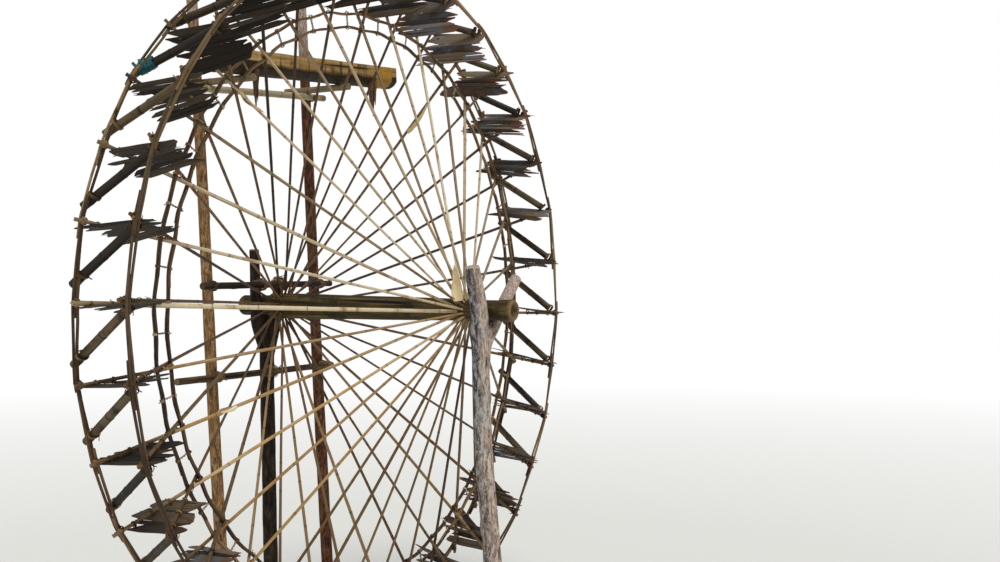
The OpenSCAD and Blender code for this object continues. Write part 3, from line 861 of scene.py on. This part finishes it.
def axle_log():
    end = AXLE_HALF
    near0, near1 = NEAR_NECK_Y - NEAR_NECK_HALF, NEAR_NECK_Y + NEAR_NECK_HALF
    far0, far1 = FAR_NECK_Y - FAR_NECK_HALF, FAR_NECK_Y + FAR_NECK_HALF
    rng = random.Random("axle")
    rows = [(-end + 0.030, 0.020, 0), (-end + 0.022, 0.034, 0.1), (-end + 0.004, 0.048, 0.7),
            (-end, 0.056, 1), (-end + 0.006, 0.067, 0.9), (-end + 0.016, AXLE_NEAR_R - 0.001, 0.3)]
    rows += [(y, AXLE_NEAR_R, 0) for y in np.linspace(-end + 0.03, near0 - 0.012, 4)]
    rows += [(y, NEAR_NECK_R, 0) for y in np.linspace(near0, near1, 9)]
    rows += [(y, log_r(y), 0) for y in np.linspace(near1 + 0.014, far0 - 0.012, 90)]
    rows += [(y, FAR_NECK_R, 0) for y in np.linspace(far0, far1, 7)]
    rows += [(y, AXLE_STUB_R, 0) for y in np.linspace(far1 + 0.008, end - 0.01, 4)]
    rows += [(end - 0.0008, AXLE_STUB_R - 0.004, 0.2), (end, AXLE_STUB_R - 0.006, 1)]
    s = np.array([row[0] for row in rows])
    turn = turns(AXLE_SIDES)
    wobble = lumps(rng, s, turn, 0.010, along=(3, 16))
    checks = 0
    for _ in range(9):
        at, drift = rng.uniform(0, 2 * math.pi), rng.uniform(-0.35, 0.35)
        y0, y1 = sorted((rng.uniform(-end, end), rng.uniform(-end, end)))
        off = np.abs(angle_off(turn[None], at + drift * s[:, None]))
        checks = checks + np.exp(-(off / 0.08) ** 2) * ((s > y0) & (s < y1))[:, None]
    wobble = wobble - 0.022 * np.minimum(checks, 1)
    worn_end = (s < -end + 0.04)[:, None]
    wobble = wobble + (lumps(rng, s, turn, 0.07, along=(3, 16)) - 1) * worn_end
    for low, high in ((near0, near1), (far0, far1)):
        wobble[(s > low - 0.001) & (s < high + 0.001)] = 0.998
    shape = Shape()
    shape.revolve(np.array([0, 0, AXLE_Z]), np.array([0.0, 1, 0]), np.array([1.0, 0, 0]), rows, AXLE_SIDES,
                  0.5, 0.3, wobble)
    shape.build("axle", AXLE_WOOD, WHEEL, "axle_log", crease=50)


axle_log()


# Poles and bars

FAR_FACE = 0.94
POST_H = 5.155
POST_TAPER = 0.010
POST_LEAN = math.tan(math.radians(4.2))
# Where each trough post stands, and its radius at the foot
LEFT_POST = (-0.430, 0.046)
RIGHT_POST = (0.790, 0.048)
BAR_R = 0.025
BAR_Y = FAR_FACE - BAR_R - SEAT
KEEPER_Z = AXLE_Z + 0.16
LOWER_Z = AXLE_Z - 0.5
BEARER_R = 0.026
RAIL_Y = FAR_FACE - BEARER_R - SEAT
TROUGH = np.array([0.010, 0.62, AXLE_Z + 1.80])
FALL = math.radians(3.8)
TROUGH_R = 0.110
BEARER_DROP = (TROUGH_R + BEARER_R + SEAT) / math.cos(FALL)
RAIL_DROP = BEARER_DROP + (2 * BEARER_R + SEAT) / math.cos(FALL)
POLE_SIDES = 24


def pole(shape, a, b, r0, r1, rng, knots=6, rings=60, bare_from=math.inf):
    """A round pole with knots and lumps. Past bare_from its bark is gone."""
    a, b = np.array([a, b], float)
    length = np.linalg.norm(b - a)
    s = np.concatenate([[0, 0.0006], np.linspace(0.01, length - 0.01, rings), [length - 0.0006, length]])
    share = s / length
    ahead = (b - a) / length
    across = unit(np.cross(ahead, [0.37, 0.2, 0.9] if abs(ahead[2]) < 0.8 else [0.9, 0.3, 0.1]))
    up = np.cross(ahead, across)
    bend = 0.006 * np.sin(math.pi * share * rng.uniform(0.8, 2.2)) * np.sin(math.pi * share)
    path = a + np.outer(s, ahead) + np.outer(bend, across) + np.outer(bend * rng.uniform(-0.7, 0.7), up)
    turn = turns(POLE_SIDES)
    relief = lumps(rng, s, turn, 0.018)
    for _ in range(knots):
        at, angle = rng.uniform(0.03, 0.97) * length, rng.uniform(0, 2 * math.pi)
        off = angle_off(turn, angle)
        relief = relief + 0.16 * np.exp(-((s[:, None] - at) / 0.035) ** 2 - (off[None] / 0.38) ** 2)
    mark = np.clip((s - bare_from) / 0.12, 0, 0.85)
    mark[[0, -1]] = 1
    shape.sweep(path, across, r0 + (r1 - r0) * share, section=ROUND_24, rng=rng, mark=mark, relief=relief)


def pole_x(post, z):
    return post[0] - z * POST_LEAN


def pole_r(post, z):
    return post[1] - POST_TAPER * z / POST_H


def trough_z(x):
    return TROUGH[2] + (x - TROUGH[0]) * math.tan(FALL)


def trough_post(name, post, material, slot, knots, bare_from):
    shape = Shape()
    ends = [(pole_x(post, z), FAR_FACE + pole_r(post, z), z) for z in (0, POST_H)]
    pole(shape, *ends, pole_r(post, 0), pole_r(post, POST_H), random.Random(name), knots, 110, bare_from)
    # Both ends are cut level
    shape.verts[0][:, 2] = shape.verts[0][:, 2].clip(0, POST_H)
    shape.build(name, material, STAND, slot)


def post_bar(name, x0, x1, z, material, seed):
    shape = Shape()
    pole(shape, (x0, BAR_Y, z), (x1, BAR_Y, z), BAR_R, BAR_R * 0.94, random.Random(seed))
    shape.build(name, material, STAND, name if name == "lower_bar" else "dark_bar")


def cane_bar(name, a, b, seed):
    shape = Shape()
    cane(shape, a, b, BEARER_R, BEARER_R * 0.96, random.Random(seed), joint=0.28, section=ROUND_24, bow=0.003,
         swell=0.06)
    shape.build(name, BEARER_CANE, STAND, "bearer_cane")


trough_post("left_trough_post", LEFT_POST, LEFT_POLE, "left_pole", 9, 4.72)
trough_post("right_trough_post", RIGHT_POST, RIGHT_POLE, "right_pole", 7, 4.62)
post_bar("keeper_bar", -0.760, 0.700, KEEPER_Z, DARK_BAR, 11)
post_bar("lower_bar", -1.011, 0.718, LOWER_Z, LOWER_BAR, 12)
for bearer, x, seed in (("left_bearer", -0.683, 13), ("right_bearer", 0.401, 14)):
    cane_bar(bearer, *[(x, y, trough_z(x) - BEARER_DROP) for y in (0.495, 1.122)], seed)
cane_bar("trough_rail", *[(x, RAIL_Y, trough_z(x) - RAIL_DROP) for x in (-0.920, 0.619)], 15)


# Hewn trough

TROUGH_LEN = 2.15
TROUGH_END = 0.07
TROUGH_EDGE = 0.055
TROUGH_SIDE = 0.095
HOLLOW_R = 0.065


def ripple(x, y, z):
    return noise.noise(Vector((x, y, z)))


def trough_section():
    """Outside of the trough from one edge down and up to the other, and its hollow back again."""
    face_turn = math.acos(TROUGH_SIDE / TROUGH_R)
    face = [(TROUGH_SIDE, z) for z in np.linspace(TROUGH_EDGE, -math.sin(face_turn) * TROUGH_R, 7)[:-1]]
    down = np.linspace(-face_turn, face_turn - math.pi, 17)
    round_ = [(math.cos(a) * TROUGH_R, math.sin(a) * TROUGH_R) for a in down]
    back = np.linspace(-math.pi, 0, 15)
    inner = np.stack([np.cos(back) * HOLLOW_R, TROUGH_EDGE + np.sin(back) * HOLLOW_R], 1)
    return np.array(face + round_ + [(-y, z) for y, z in face[::-1]]), inner


def hewn_ring(x, outer, inner):
    """The section at x along the trough, with adze marks, a torn patch and wavy lips."""
    adze = np.array([0.0022 * ripple(x * 9, y * 30, z * 30) + 0.0012 * ripple(x * 40, y * 60, z * 60)
                     for y, z in outer])
    torn = math.exp(-((x - 1.15) / 0.07) ** 2) * 0.010
    adze = adze * 1.2 + np.array([torn * ripple(x * 45, z * 60, 2.2) * (y < 0) for y, z in outer])
    hewn = outer * (1 + np.minimum(adze, 0.001)[:, None] / TROUGH_R)
    hewn[[0, -1]] += [0, 0.003 * ripple(x * 6, 1.7, 0.3)]
    return np.vstack([hewn, inner + [0, 0.002 * ripple(x * 8, 4.2, 0.9)]])


def trough_log():
    ahead = np.array([math.cos(FALL), 0, math.sin(FALL)])
    side, up = np.array([0.0, 1, 0]), np.array([-math.sin(FALL), 0, math.cos(FALL)])
    start = TROUGH - ahead * TROUGH_LEN / 2
    open_len = TROUGH_LEN - TROUGH_END
    s = np.concatenate([[0, 0.0008], np.linspace(0.02, open_len - 0.02, 90), [open_len - 0.002, open_len]])
    outer, inner = trough_section()
    section = np.array([hewn_ring(x, outer, inner) for x in s])
    y, z = section[..., 0], section[..., 1]
    height = np.clip((z + TROUGH_R) / (TROUGH_R + TROUGH_EDGE), 0, 1)
    spout = 0.18 * height * np.clip(1 - s / 0.5, 0, 1)[:, None]
    verts = start + (s[:, None] + spout)[..., None] * ahead + y[..., None] * side + z[..., None] * up
    # This section runs the other way round, so its faces are turned over
    faces = [face[::-1] if len(face) > 4 else face[:1] + face[:0:-1] for face in skin_faces(*y.shape)]
    mark = np.clip(np.abs(s - 0.93) * 40 - 37, 0, 0.75)
    shape = Shape()
    shape.add(verts, faces, grain_coordinates(y, z, s, 0.0), 0.5, mark)
    path = [start + ahead * x for x in (open_len, open_len + 0.01, TROUGH_LEN - 0.0008, TROUGH_LEN)]
    shape.sweep(path, side, 1.0, section=outer, mark=[0, 0, 0, 1])
    shape.build("trough", TROUGH_WOOD, STAND, "trough_wood", crease=45)


trough_log()


# Forked posts, grown from limbs joined in one skin

def bend_through(points, count):
    """Smooth curve through control points, with as many values in each as given."""
    p = np.array(points, float)
    p = np.vstack([2 * p[0] - p[1], p, 2 * p[-1] - p[-2]])
    t = np.linspace(0, len(points) - 1 - 1e-9, count)
    i = t.astype(int)
    f = (t - i)[:, None]
    a, b, c, d = p[i], p[i + 1], p[i + 2], p[i + 3]
    return 0.5 * (2 * b + (c - a) * f + (2 * a - 5 * b + 4 * c - d) * f ** 2
                  + (3 * b - a - 3 * c + d) * f ** 3)


def join_limbs(name, curves, voxel):
    """One soft skin over limbs given as curves of x, y, z and radius."""
    rough = Shape()
    for curve in curves:
        rough.sweep(curve[:, :3], [0.1, 1, 0.05], curve[:, 3], section=ROUND_24)
    mesh = bpy.data.meshes.new(name + "_limbs")
    mesh.from_pydata(np.concatenate(rough.verts).tolist(), [], rough.faces)
    source = link(bpy.data.objects.new(name + "_limbs", mesh))
    skin = source.modifiers.new("skin", "REMESH")
    skin.mode, skin.voxel_size = "VOXEL", voxel
    soften = source.modifiers.new("soften", "SMOOTH")
    soften.factor, soften.iterations = 0.5, 8
    grown = bpy.data.meshes.new_from_object(source.evaluated_get(bpy.context.evaluated_depsgraph_get()))
    bpy.data.objects.remove(source)
    bpy.data.meshes.remove(mesh)
    grown.name = name
    return grown


def read_vertices(mesh, field):
    values = np.empty(len(mesh.vertices) * 3)
    mesh.vertices.foreach_get(field, values)
    return values.reshape(-1, 3)


def follow_limbs(verts, curves, pale_limb):
    """Grain coordinates along the nearest limb of each point, and the bare wood up the pale limb."""
    every = np.arange(len(verts))
    best = np.full(len(verts), 1e9)
    grain, bare = np.zeros((len(verts), 3)), np.zeros(len(verts))
    for index, curve in enumerate(curves):
        offset = verts[:, None] - curve[None, :, :3]
        distance = np.linalg.norm(offset, axis=2) - curve[None, :, 3]
        near = distance.argmin(1)
        closer = distance[every, near] < best
        best[closer] = distance[every, near][closer]
        pick = offset[every, near]
        ahead = unit(np.gradient(curve[:, :3], axis=0))[near]
        run = distance_along(curve[:, :3])[near] + (pick * ahead).sum(1)
        grain[closer] = np.stack([pick[:, 0], pick[:, 1], run + index * 3.7], 1)[closer]
        if index == pale_limb:
            bare = np.where(closer, np.clip((verts[:, 2] - AXLE_Z) / 0.1, 0, 0.85), bare)
    return grain, bare


def bark_push(verts, grain, depth, knots):
    """How far the bark stands out at each point: ridges, fine cracks, broad lumps and hollow knots."""
    push = np.array([
        depth * (ripple(g[0] * 26, g[1] * 26, g[2] * 5) * 0.7
                 + ripple(g[0] * 70, g[1] * 70, g[2] * 11 + 9) * 0.45
                 + ripple(v[0] * 5, v[1] * 5, v[2] * 3 + 4))
        for g, v in zip(grain.tolist(), verts.tolist())])
    for at, size, height in knots:
        d = np.linalg.norm(verts - np.array(at), axis=1)
        push += height * np.exp(-(d / size) ** 2) - height * 1.1 * np.exp(-(d / (size * 0.45)) ** 2)
    return push


def forked_post(name, limbs, material, seed, voxel, neck_r, depth, sawn, knots=(), pale_limb=None):
    """limbs are (y, [(x, z, radius), ...]), sawn are the numbers of those with a sawn top."""
    limbs = [[(x, y, z, r) for x, z, r in points] for y, points in limbs]
    neck_y = limbs[0][0][1]
    curves = [bend_through(points, 12 * len(points)) for points in limbs]
    mesh = join_limbs(name, curves, voxel)
    verts = read_vertices(mesh, "co")
    grain, bare = follow_limbs(verts, curves, pale_limb)
    push = bark_push(verts, grain, depth, knots)
    for x, y, z, r in (limbs[i][-1] for i in sawn):
        d = np.linalg.norm(verts - np.array((x, y, z)), axis=1)
        bare = np.maximum(bare, np.clip((r * 1.25 - d) / (r * 0.3), 0, 1) * (verts[:, 2] > z - r * 0.25))
    verts = verts + read_vertices(mesh, "normal") * push[:, None]

    neck_r += 0.0012
    off = verts[:, [0, 2]] - [0, AXLE_Z]
    radial = np.linalg.norm(off, axis=1)
    seat = (np.abs(verts[:, 1] - neck_y) < 0.3) & (radial < neck_r)
    verts[seat, 0] = off[seat, 0] / radial[seat] * neck_r
    verts[seat, 2] = AXLE_Z + off[seat, 1] / radial[seat] * neck_r
    verts[:, 2] = np.maximum(verts[:, 2], 0)
    mesh.vertices.foreach_set("co", verts.astype(np.float32).ravel())
    mesh.update()
    skin_mesh(mesh, material, grain, np.full(len(verts), random.Random(seed).random()), bare)
    place(bpy.data.objects.new(name + "_form", mesh), STAND, name)


NEAR_Y = NEAR_NECK_Y
PRONG_Y = 0.982
forked_post(
    "near_post",
    [
        (NEAR_Y, [(0.12, -0.06, 0.066), (0.0585, 0.891, 0.0637), (-0.0571, 1.62, 0.0618),
                  (-0.0965, 2.106, 0.0605), (-0.126, 2.55, 0.059), (-0.130, 2.70, 0.059),
                  (-0.226, 3.00, 0.052)]),
        (NEAR_Y, [(-0.126, 2.414, 0.053), (0.126, 2.666, 0.046), (0.380, 2.92, 0.039)]),
        (NEAR_Y, [(-0.105, 2.24, 0.058), (-0.085, 2.42, 0.058), (-0.03, 2.50, 0.046)]),
    ],
    NEAR_BARK, "near post", voxel=0.0065, neck_r=NEAR_NECK_R + 0.0005, depth=0.0038,
    knots=[((-0.10, NEAR_Y - 0.06, 2.11), 0.034, 0.013), ((0.0, NEAR_Y + 0.06, 1.2), 0.04, 0.012),
           ((0.12, NEAR_Y - 0.03, 0.55), 0.04, 0.013), ((-0.226, NEAR_Y - 0.01, 3.00), 0.018, -0.012),
           ((0.380, NEAR_Y, 2.92), 0.014, -0.012)],
    sawn=(0, 1), pale_limb=1)
forked_post(
    "far_post",
    [
        (FAR_NECK_Y, [(0.08, -0.06, 0.055), (0.045, 1.215, 0.055), (0.01, 2.641, 0.055)]),
        (PRONG_Y, [(0.02, 2.28, 0.042), (-0.108, 2.55, 0.042), (-0.118, 2.70, 0.042), (-0.138, 3.13, 0.037)]),
        (PRONG_Y, [(0.02, 2.30, 0.042), (0.108, 2.58, 0.042), (0.138, 2.92, 0.037)]),
    ],
    FAR_BARK, "far post", voxel=0.007, neck_r=FAR_NECK_R + 0.0005, depth=0.003, sawn=(1, 2))


# Dry culm sheaths, and the plastic strip round one tube

CRESCENT = np.array([(x, 0.4 * (1 - x * x)) for x in np.linspace(-1, 1, 7)] +
                    [(x, 0.4 * (1 - x * x) - 0.05) for x in np.linspace(1, -1, 7)])
LEAF_FACE = (0.5, -0.865, 0)
# Side, pair, radius at the foot and the tip, and width of each sheath on a spoke
SPOKE_SHEATHS = ((-1, 4, 1.98, 1.80, 0.022), (-1, 10, 1.80, 1.66, 0.020), (-1, 10, 1.68, 1.80, 0.014),
                 (-1, 30, 1.86, 1.64, 0.020), (1, 31, 1.55, 1.86, 0.024))
# Place along the trough, length and width of each leaf under it
HANGING_LEAVES = ((-0.61, 0.29, 0.022), (-0.585, 0.24, 0.016), (0.75, 0.26, 0.024), (0.78, 0.29, 0.022),
                  (0.81, 0.20, 0.018))


def sheath(shape, base, tip, across, wide, rng, curl=0.02):
    """A curled dry leaf from its broad base to its torn tip."""
    share = np.linspace(0, 1, 12)
    base, tip = np.array([base, tip], float)
    side = unit(np.cross(tip - base, across))
    path = base + np.outer(share, tip - base) + np.outer(curl * np.sin(share * math.pi * 1.3), side)
    width = wide * np.interp(share, [0, 0.12, 0.4, 0.8, 1], [0.7, 1, 0.8, 0.4, 0.06])
    width = width * [rng.uniform(0.88, 1.1) for _ in share]
    shape.sweep(path, across, width, section=CRESCENT, rng=rng, mark=0.12 + 0.3 * share ** 3)


def dry_leaves():
    rng = random.Random("sheaths")
    shape, hanging = Shape(), Shape()
    for side, k, r0, r1, wide in SPOKE_SHEATHS:
        axes = wheel_axes(pair_angle(k))
        foot, top = (spoke_point(k, side, r) + axes[ALONG] * -0.012 for r in (r0, r1))
        sheath(shape, foot, top, axes[ROUND], wide, rng)
    foot, top = (-0.13, -0.83, AXLE_Z + 0.065), (-0.13, -0.80, AXLE_Z + 0.31)
    sheath(shape, foot, top, LEAF_FACE, 0.042, rng, curl=0.01)
    shape.build("spoke_sheaths", SHEATH_SKIN, WHEEL, "tie_cane", dress=True)
    for x, fall, wide in HANGING_LEAVES:
        top = np.array([x, TROUGH[1] - 0.075, trough_z(x) - 0.06])
        sheath(hanging, top, top - [rng.uniform(-0.02, 0.02), 0, fall], LEAF_FACE, wide, rng)
    hanging.build("hanging_sheaths", THONG_SKIN, STAND, "tie_cane", dress=True)


def tube_wrap():
    shape = Shape()
    rng = random.Random("wrap")
    start, ahead, across = tube_frame(4)
    lashing(shape, start + ahead * 0.475 + across * 0.004, ahead, 0.036, 0.032, across, 9, rng,
            strip=0.009, pitch=0.011)
    lashing(shape, start + ahead * 0.50 + across * 0.012, ahead + across * 0.5, 0.046, 0.034, across, 4, rng,
            strip=0.008, pitch=0.010)
    shape.build("tube_wrap", WRAP_SKIN, WHEEL, "tube_cane", dress=True)


dry_leaves()
tube_wrap()


# Lashings

def rim_lashings():
    shape = Shape()
    for side in (-1, 1):
        for k, rng, axes in each_pair(f"node {side}"):
            y = side * (spread(k, RIM_R) + 0.010)
            centre = wheel_point(pair_angle(k), RIM_R, y, side * SPOKE_SIDE * 0.8)
            for way in (-1, 1):
                diagonal = axes[OUT] + way * axes[ROUND] * rng.uniform(0.8, 1.25)
                lashing(shape, centre, diagonal, 0.021, 0.0235, axes[ALONG], rng.choice((3, 4, 4)), rng)
    shape.build("rim_lashings", THONG_SKIN, WHEEL, "tie_cane", dress=True)


def crossing_lashings():
    shape = Shape()
    for k, rng, axes in each_pair("crossing"):
        for side in (-1, 1):
            centre = wheel_point(pair_angle(k), tie_radius(side) - side * 0.012)
            diagonal = axes[ROUND] + axes[ALONG] * rng.uniform(-0.5, 0.5)
            lashing(shape, centre, diagonal, 0.030, 0.022, axes[OUT], 2.5, rng, strip=0.0032)
    shape.build("crossing_lashings", THONG_SKIN, WHEEL, "tie_cane", dress=True)


def tube_lashings():
    shape = Shape()
    for k, rng, _ in each_pair("tube tie"):
        start, ahead, across = tube_frame(k)
        hoop_y, round_way = rim_place(k + 0.5)[2], wheel_axes(bay_angle(k))[ROUND]
        for y in (0.03 - hoop_y, hoop_y):
            centre = start + ahead * ((y + TUBE_NEAR) / math.cos(TUBE_TILT)) + across * 0.008
            diagonal = ahead + round_way * rng.uniform(-0.3, 0.5)
            lashing(shape, centre, diagonal, 0.042, 0.031, across, 3, rng)
    shape.build("tube_lashings", THONG_SKIN, WHEEL, "tie_cane", dress=True)


def slat_lashings():
    shape = Shape()
    for k, rng, axes in each_pair("slat tie"):
        for i in range(SLATS):
            r = PADDLE_R0 + SLAT_H * rng.uniform(0.35, 0.65) + i * (SLAT_H + SLAT_GAP)
            for side in (-1, 1):
                centre = spoke_point(k, side, r) + axes[ROUND] * 0.004
                spoke_way = axes[OUT] - side * slope(k) * axes[ALONG]
                diagonal = spoke_way + axes[ALONG] * rng.uniform(-0.3, 0.3)
                lashing(shape, centre, diagonal, 0.020, 0.0185, axes[ROUND], 2, rng, strip=0.0030)
    shape.build("slat_lashings", THONG_SKIN, WHEEL, "tie_cane", dress=True)


def post_lashings():
    """Crossed lashings where bars and the rail meet the trough posts, and where bars meet the forked post."""
    shape = Shape()
    rng = random.Random("post ties")
    for post in (LEFT_POST, RIGHT_POST):
        rail_z = trough_z(pole_x(post, 4.4)) - RAIL_DROP
        for z, bar_r, count in ((KEEPER_Z, BAR_R, 4), (LOWER_Z, BAR_R, 4), (rail_z, BEARER_R, 3)):
            r = pole_r(post, z)
            centre = (pole_x(post, z), FAR_FACE + (r - bar_r) * 0.5, z)
            for way in (-1, 1):
                lashing(shape, centre, (way, 0, 1), r + bar_r + 0.001, r * 0.95, (0, 1, 0), count, rng,
                        strip=0.004, pitch=0.008)
    for x, z in ((-0.115, KEEPER_Z), (0.12, KEEPER_Z), (0.012, LOWER_Z)):
        for way in (1, -1):
            lashing(shape, (x, FAR_FACE + 0.018, z), (way, 0, 1), 0.075, 0.055, (0, 1, 0), 4, rng,
                    strip=0.004, pitch=0.009)
    shape.build("post_lashings", THONG_SKIN, STAND, "tie_cane", dress=True)


rim_lashings()
crossing_lashings()
tube_lashings()
slat_lashings()
post_lashings()


# Floor, light and camera

FLOOR_HALF = 150


def studio_floor():
    """A pale floor that fades into the white background."""
    s = Surface("floor", roughness=0.9, specular=0.1)
    s.shader.inputs["Base Color"].default_value = linear((236, 235, 231))
    where = s.field("ShaderNodeTexCoord", "Object")
    far = s.step(s.field("ShaderNodeVectorMath", "Value", {0: where}, operation="LENGTH"), 6, 22)
    white = s.node("ShaderNodeEmission", {"Color": (1, 1, 1, 1), "Strength": 1.0})
    seen = far * s.field("ShaderNodeLightPath", "Is Camera Ray")
    mix = s.node("ShaderNodeMixShader", {0: seen, 1: s.shader.outputs[0], 2: white.outputs[0]})
    s.tree.links.new(mix.outputs[0], s.output.inputs[0])
    mesh = bpy.data.meshes.new("floor")
    corners = [(x * FLOOR_HALF, y * FLOOR_HALF, 0) for x, y in ((-1, -1), (1, -1), (1, 1), (-1, 1))]
    mesh.from_pydata(corners, [], [(0, 1, 2, 3)])
    mesh.materials.append(s.material)
    link(bpy.data.objects.new("floor", mesh))


def sky():
    """Soft bluish light on the object, plain white where the camera looks past it."""
    world = bpy.data.worlds.new("sky")
    bpy.context.scene.world = world
    nodes = Nodes(world)
    light = nodes.node("ShaderNodeBackground", {"Color": (0.93, 0.97, 1.0, 1), "Strength": 0.5})
    white = nodes.node("ShaderNodeBackground", {"Color": (1, 1, 1, 1)})
    seen = nodes.node("ShaderNodeLightPath").outputs["Is Camera Ray"]
    mix = nodes.node("ShaderNodeMixShader", {0: seen, 1: light.outputs[0], 2: white.outputs[0]})
    nodes.node("ShaderNodeOutputWorld", {0: mix.outputs[0]})


def aim(obj, direction):
    obj.rotation_euler = Vector(direction).to_track_quat("-Z", "Y").to_euler()


def sun():
    lamp = bpy.data.lights.new("sun", "SUN")
    lamp.energy = 1.6
    lamp.angle = math.radians(25)
    lamp.color = (1.0, 0.97, 0.92)
    aim(link(bpy.data.objects.new("sun", lamp)), (0.38, 0.62, -1.3))


def photo_camera():
    lens = bpy.data.cameras.new("camera")
    lens.lens, lens.sensor_width = 44.0, 36.0
    lens.clip_end = 500
    camera = link(bpy.data.objects.new("camera", lens))
    yaw, pitch = math.radians(59.9), math.radians(-0.75)
    aim(camera, (math.sin(yaw) * math.cos(pitch), math.cos(yaw) * math.cos(pitch), math.sin(pitch)))
    camera.location = (-7.20, -5.26, 3.01)
    bpy.context.scene.camera = camera


studio_floor()
sky()
sun()
photo_camera()
bpy.context.scene.view_settings.view_transform = "Standard"
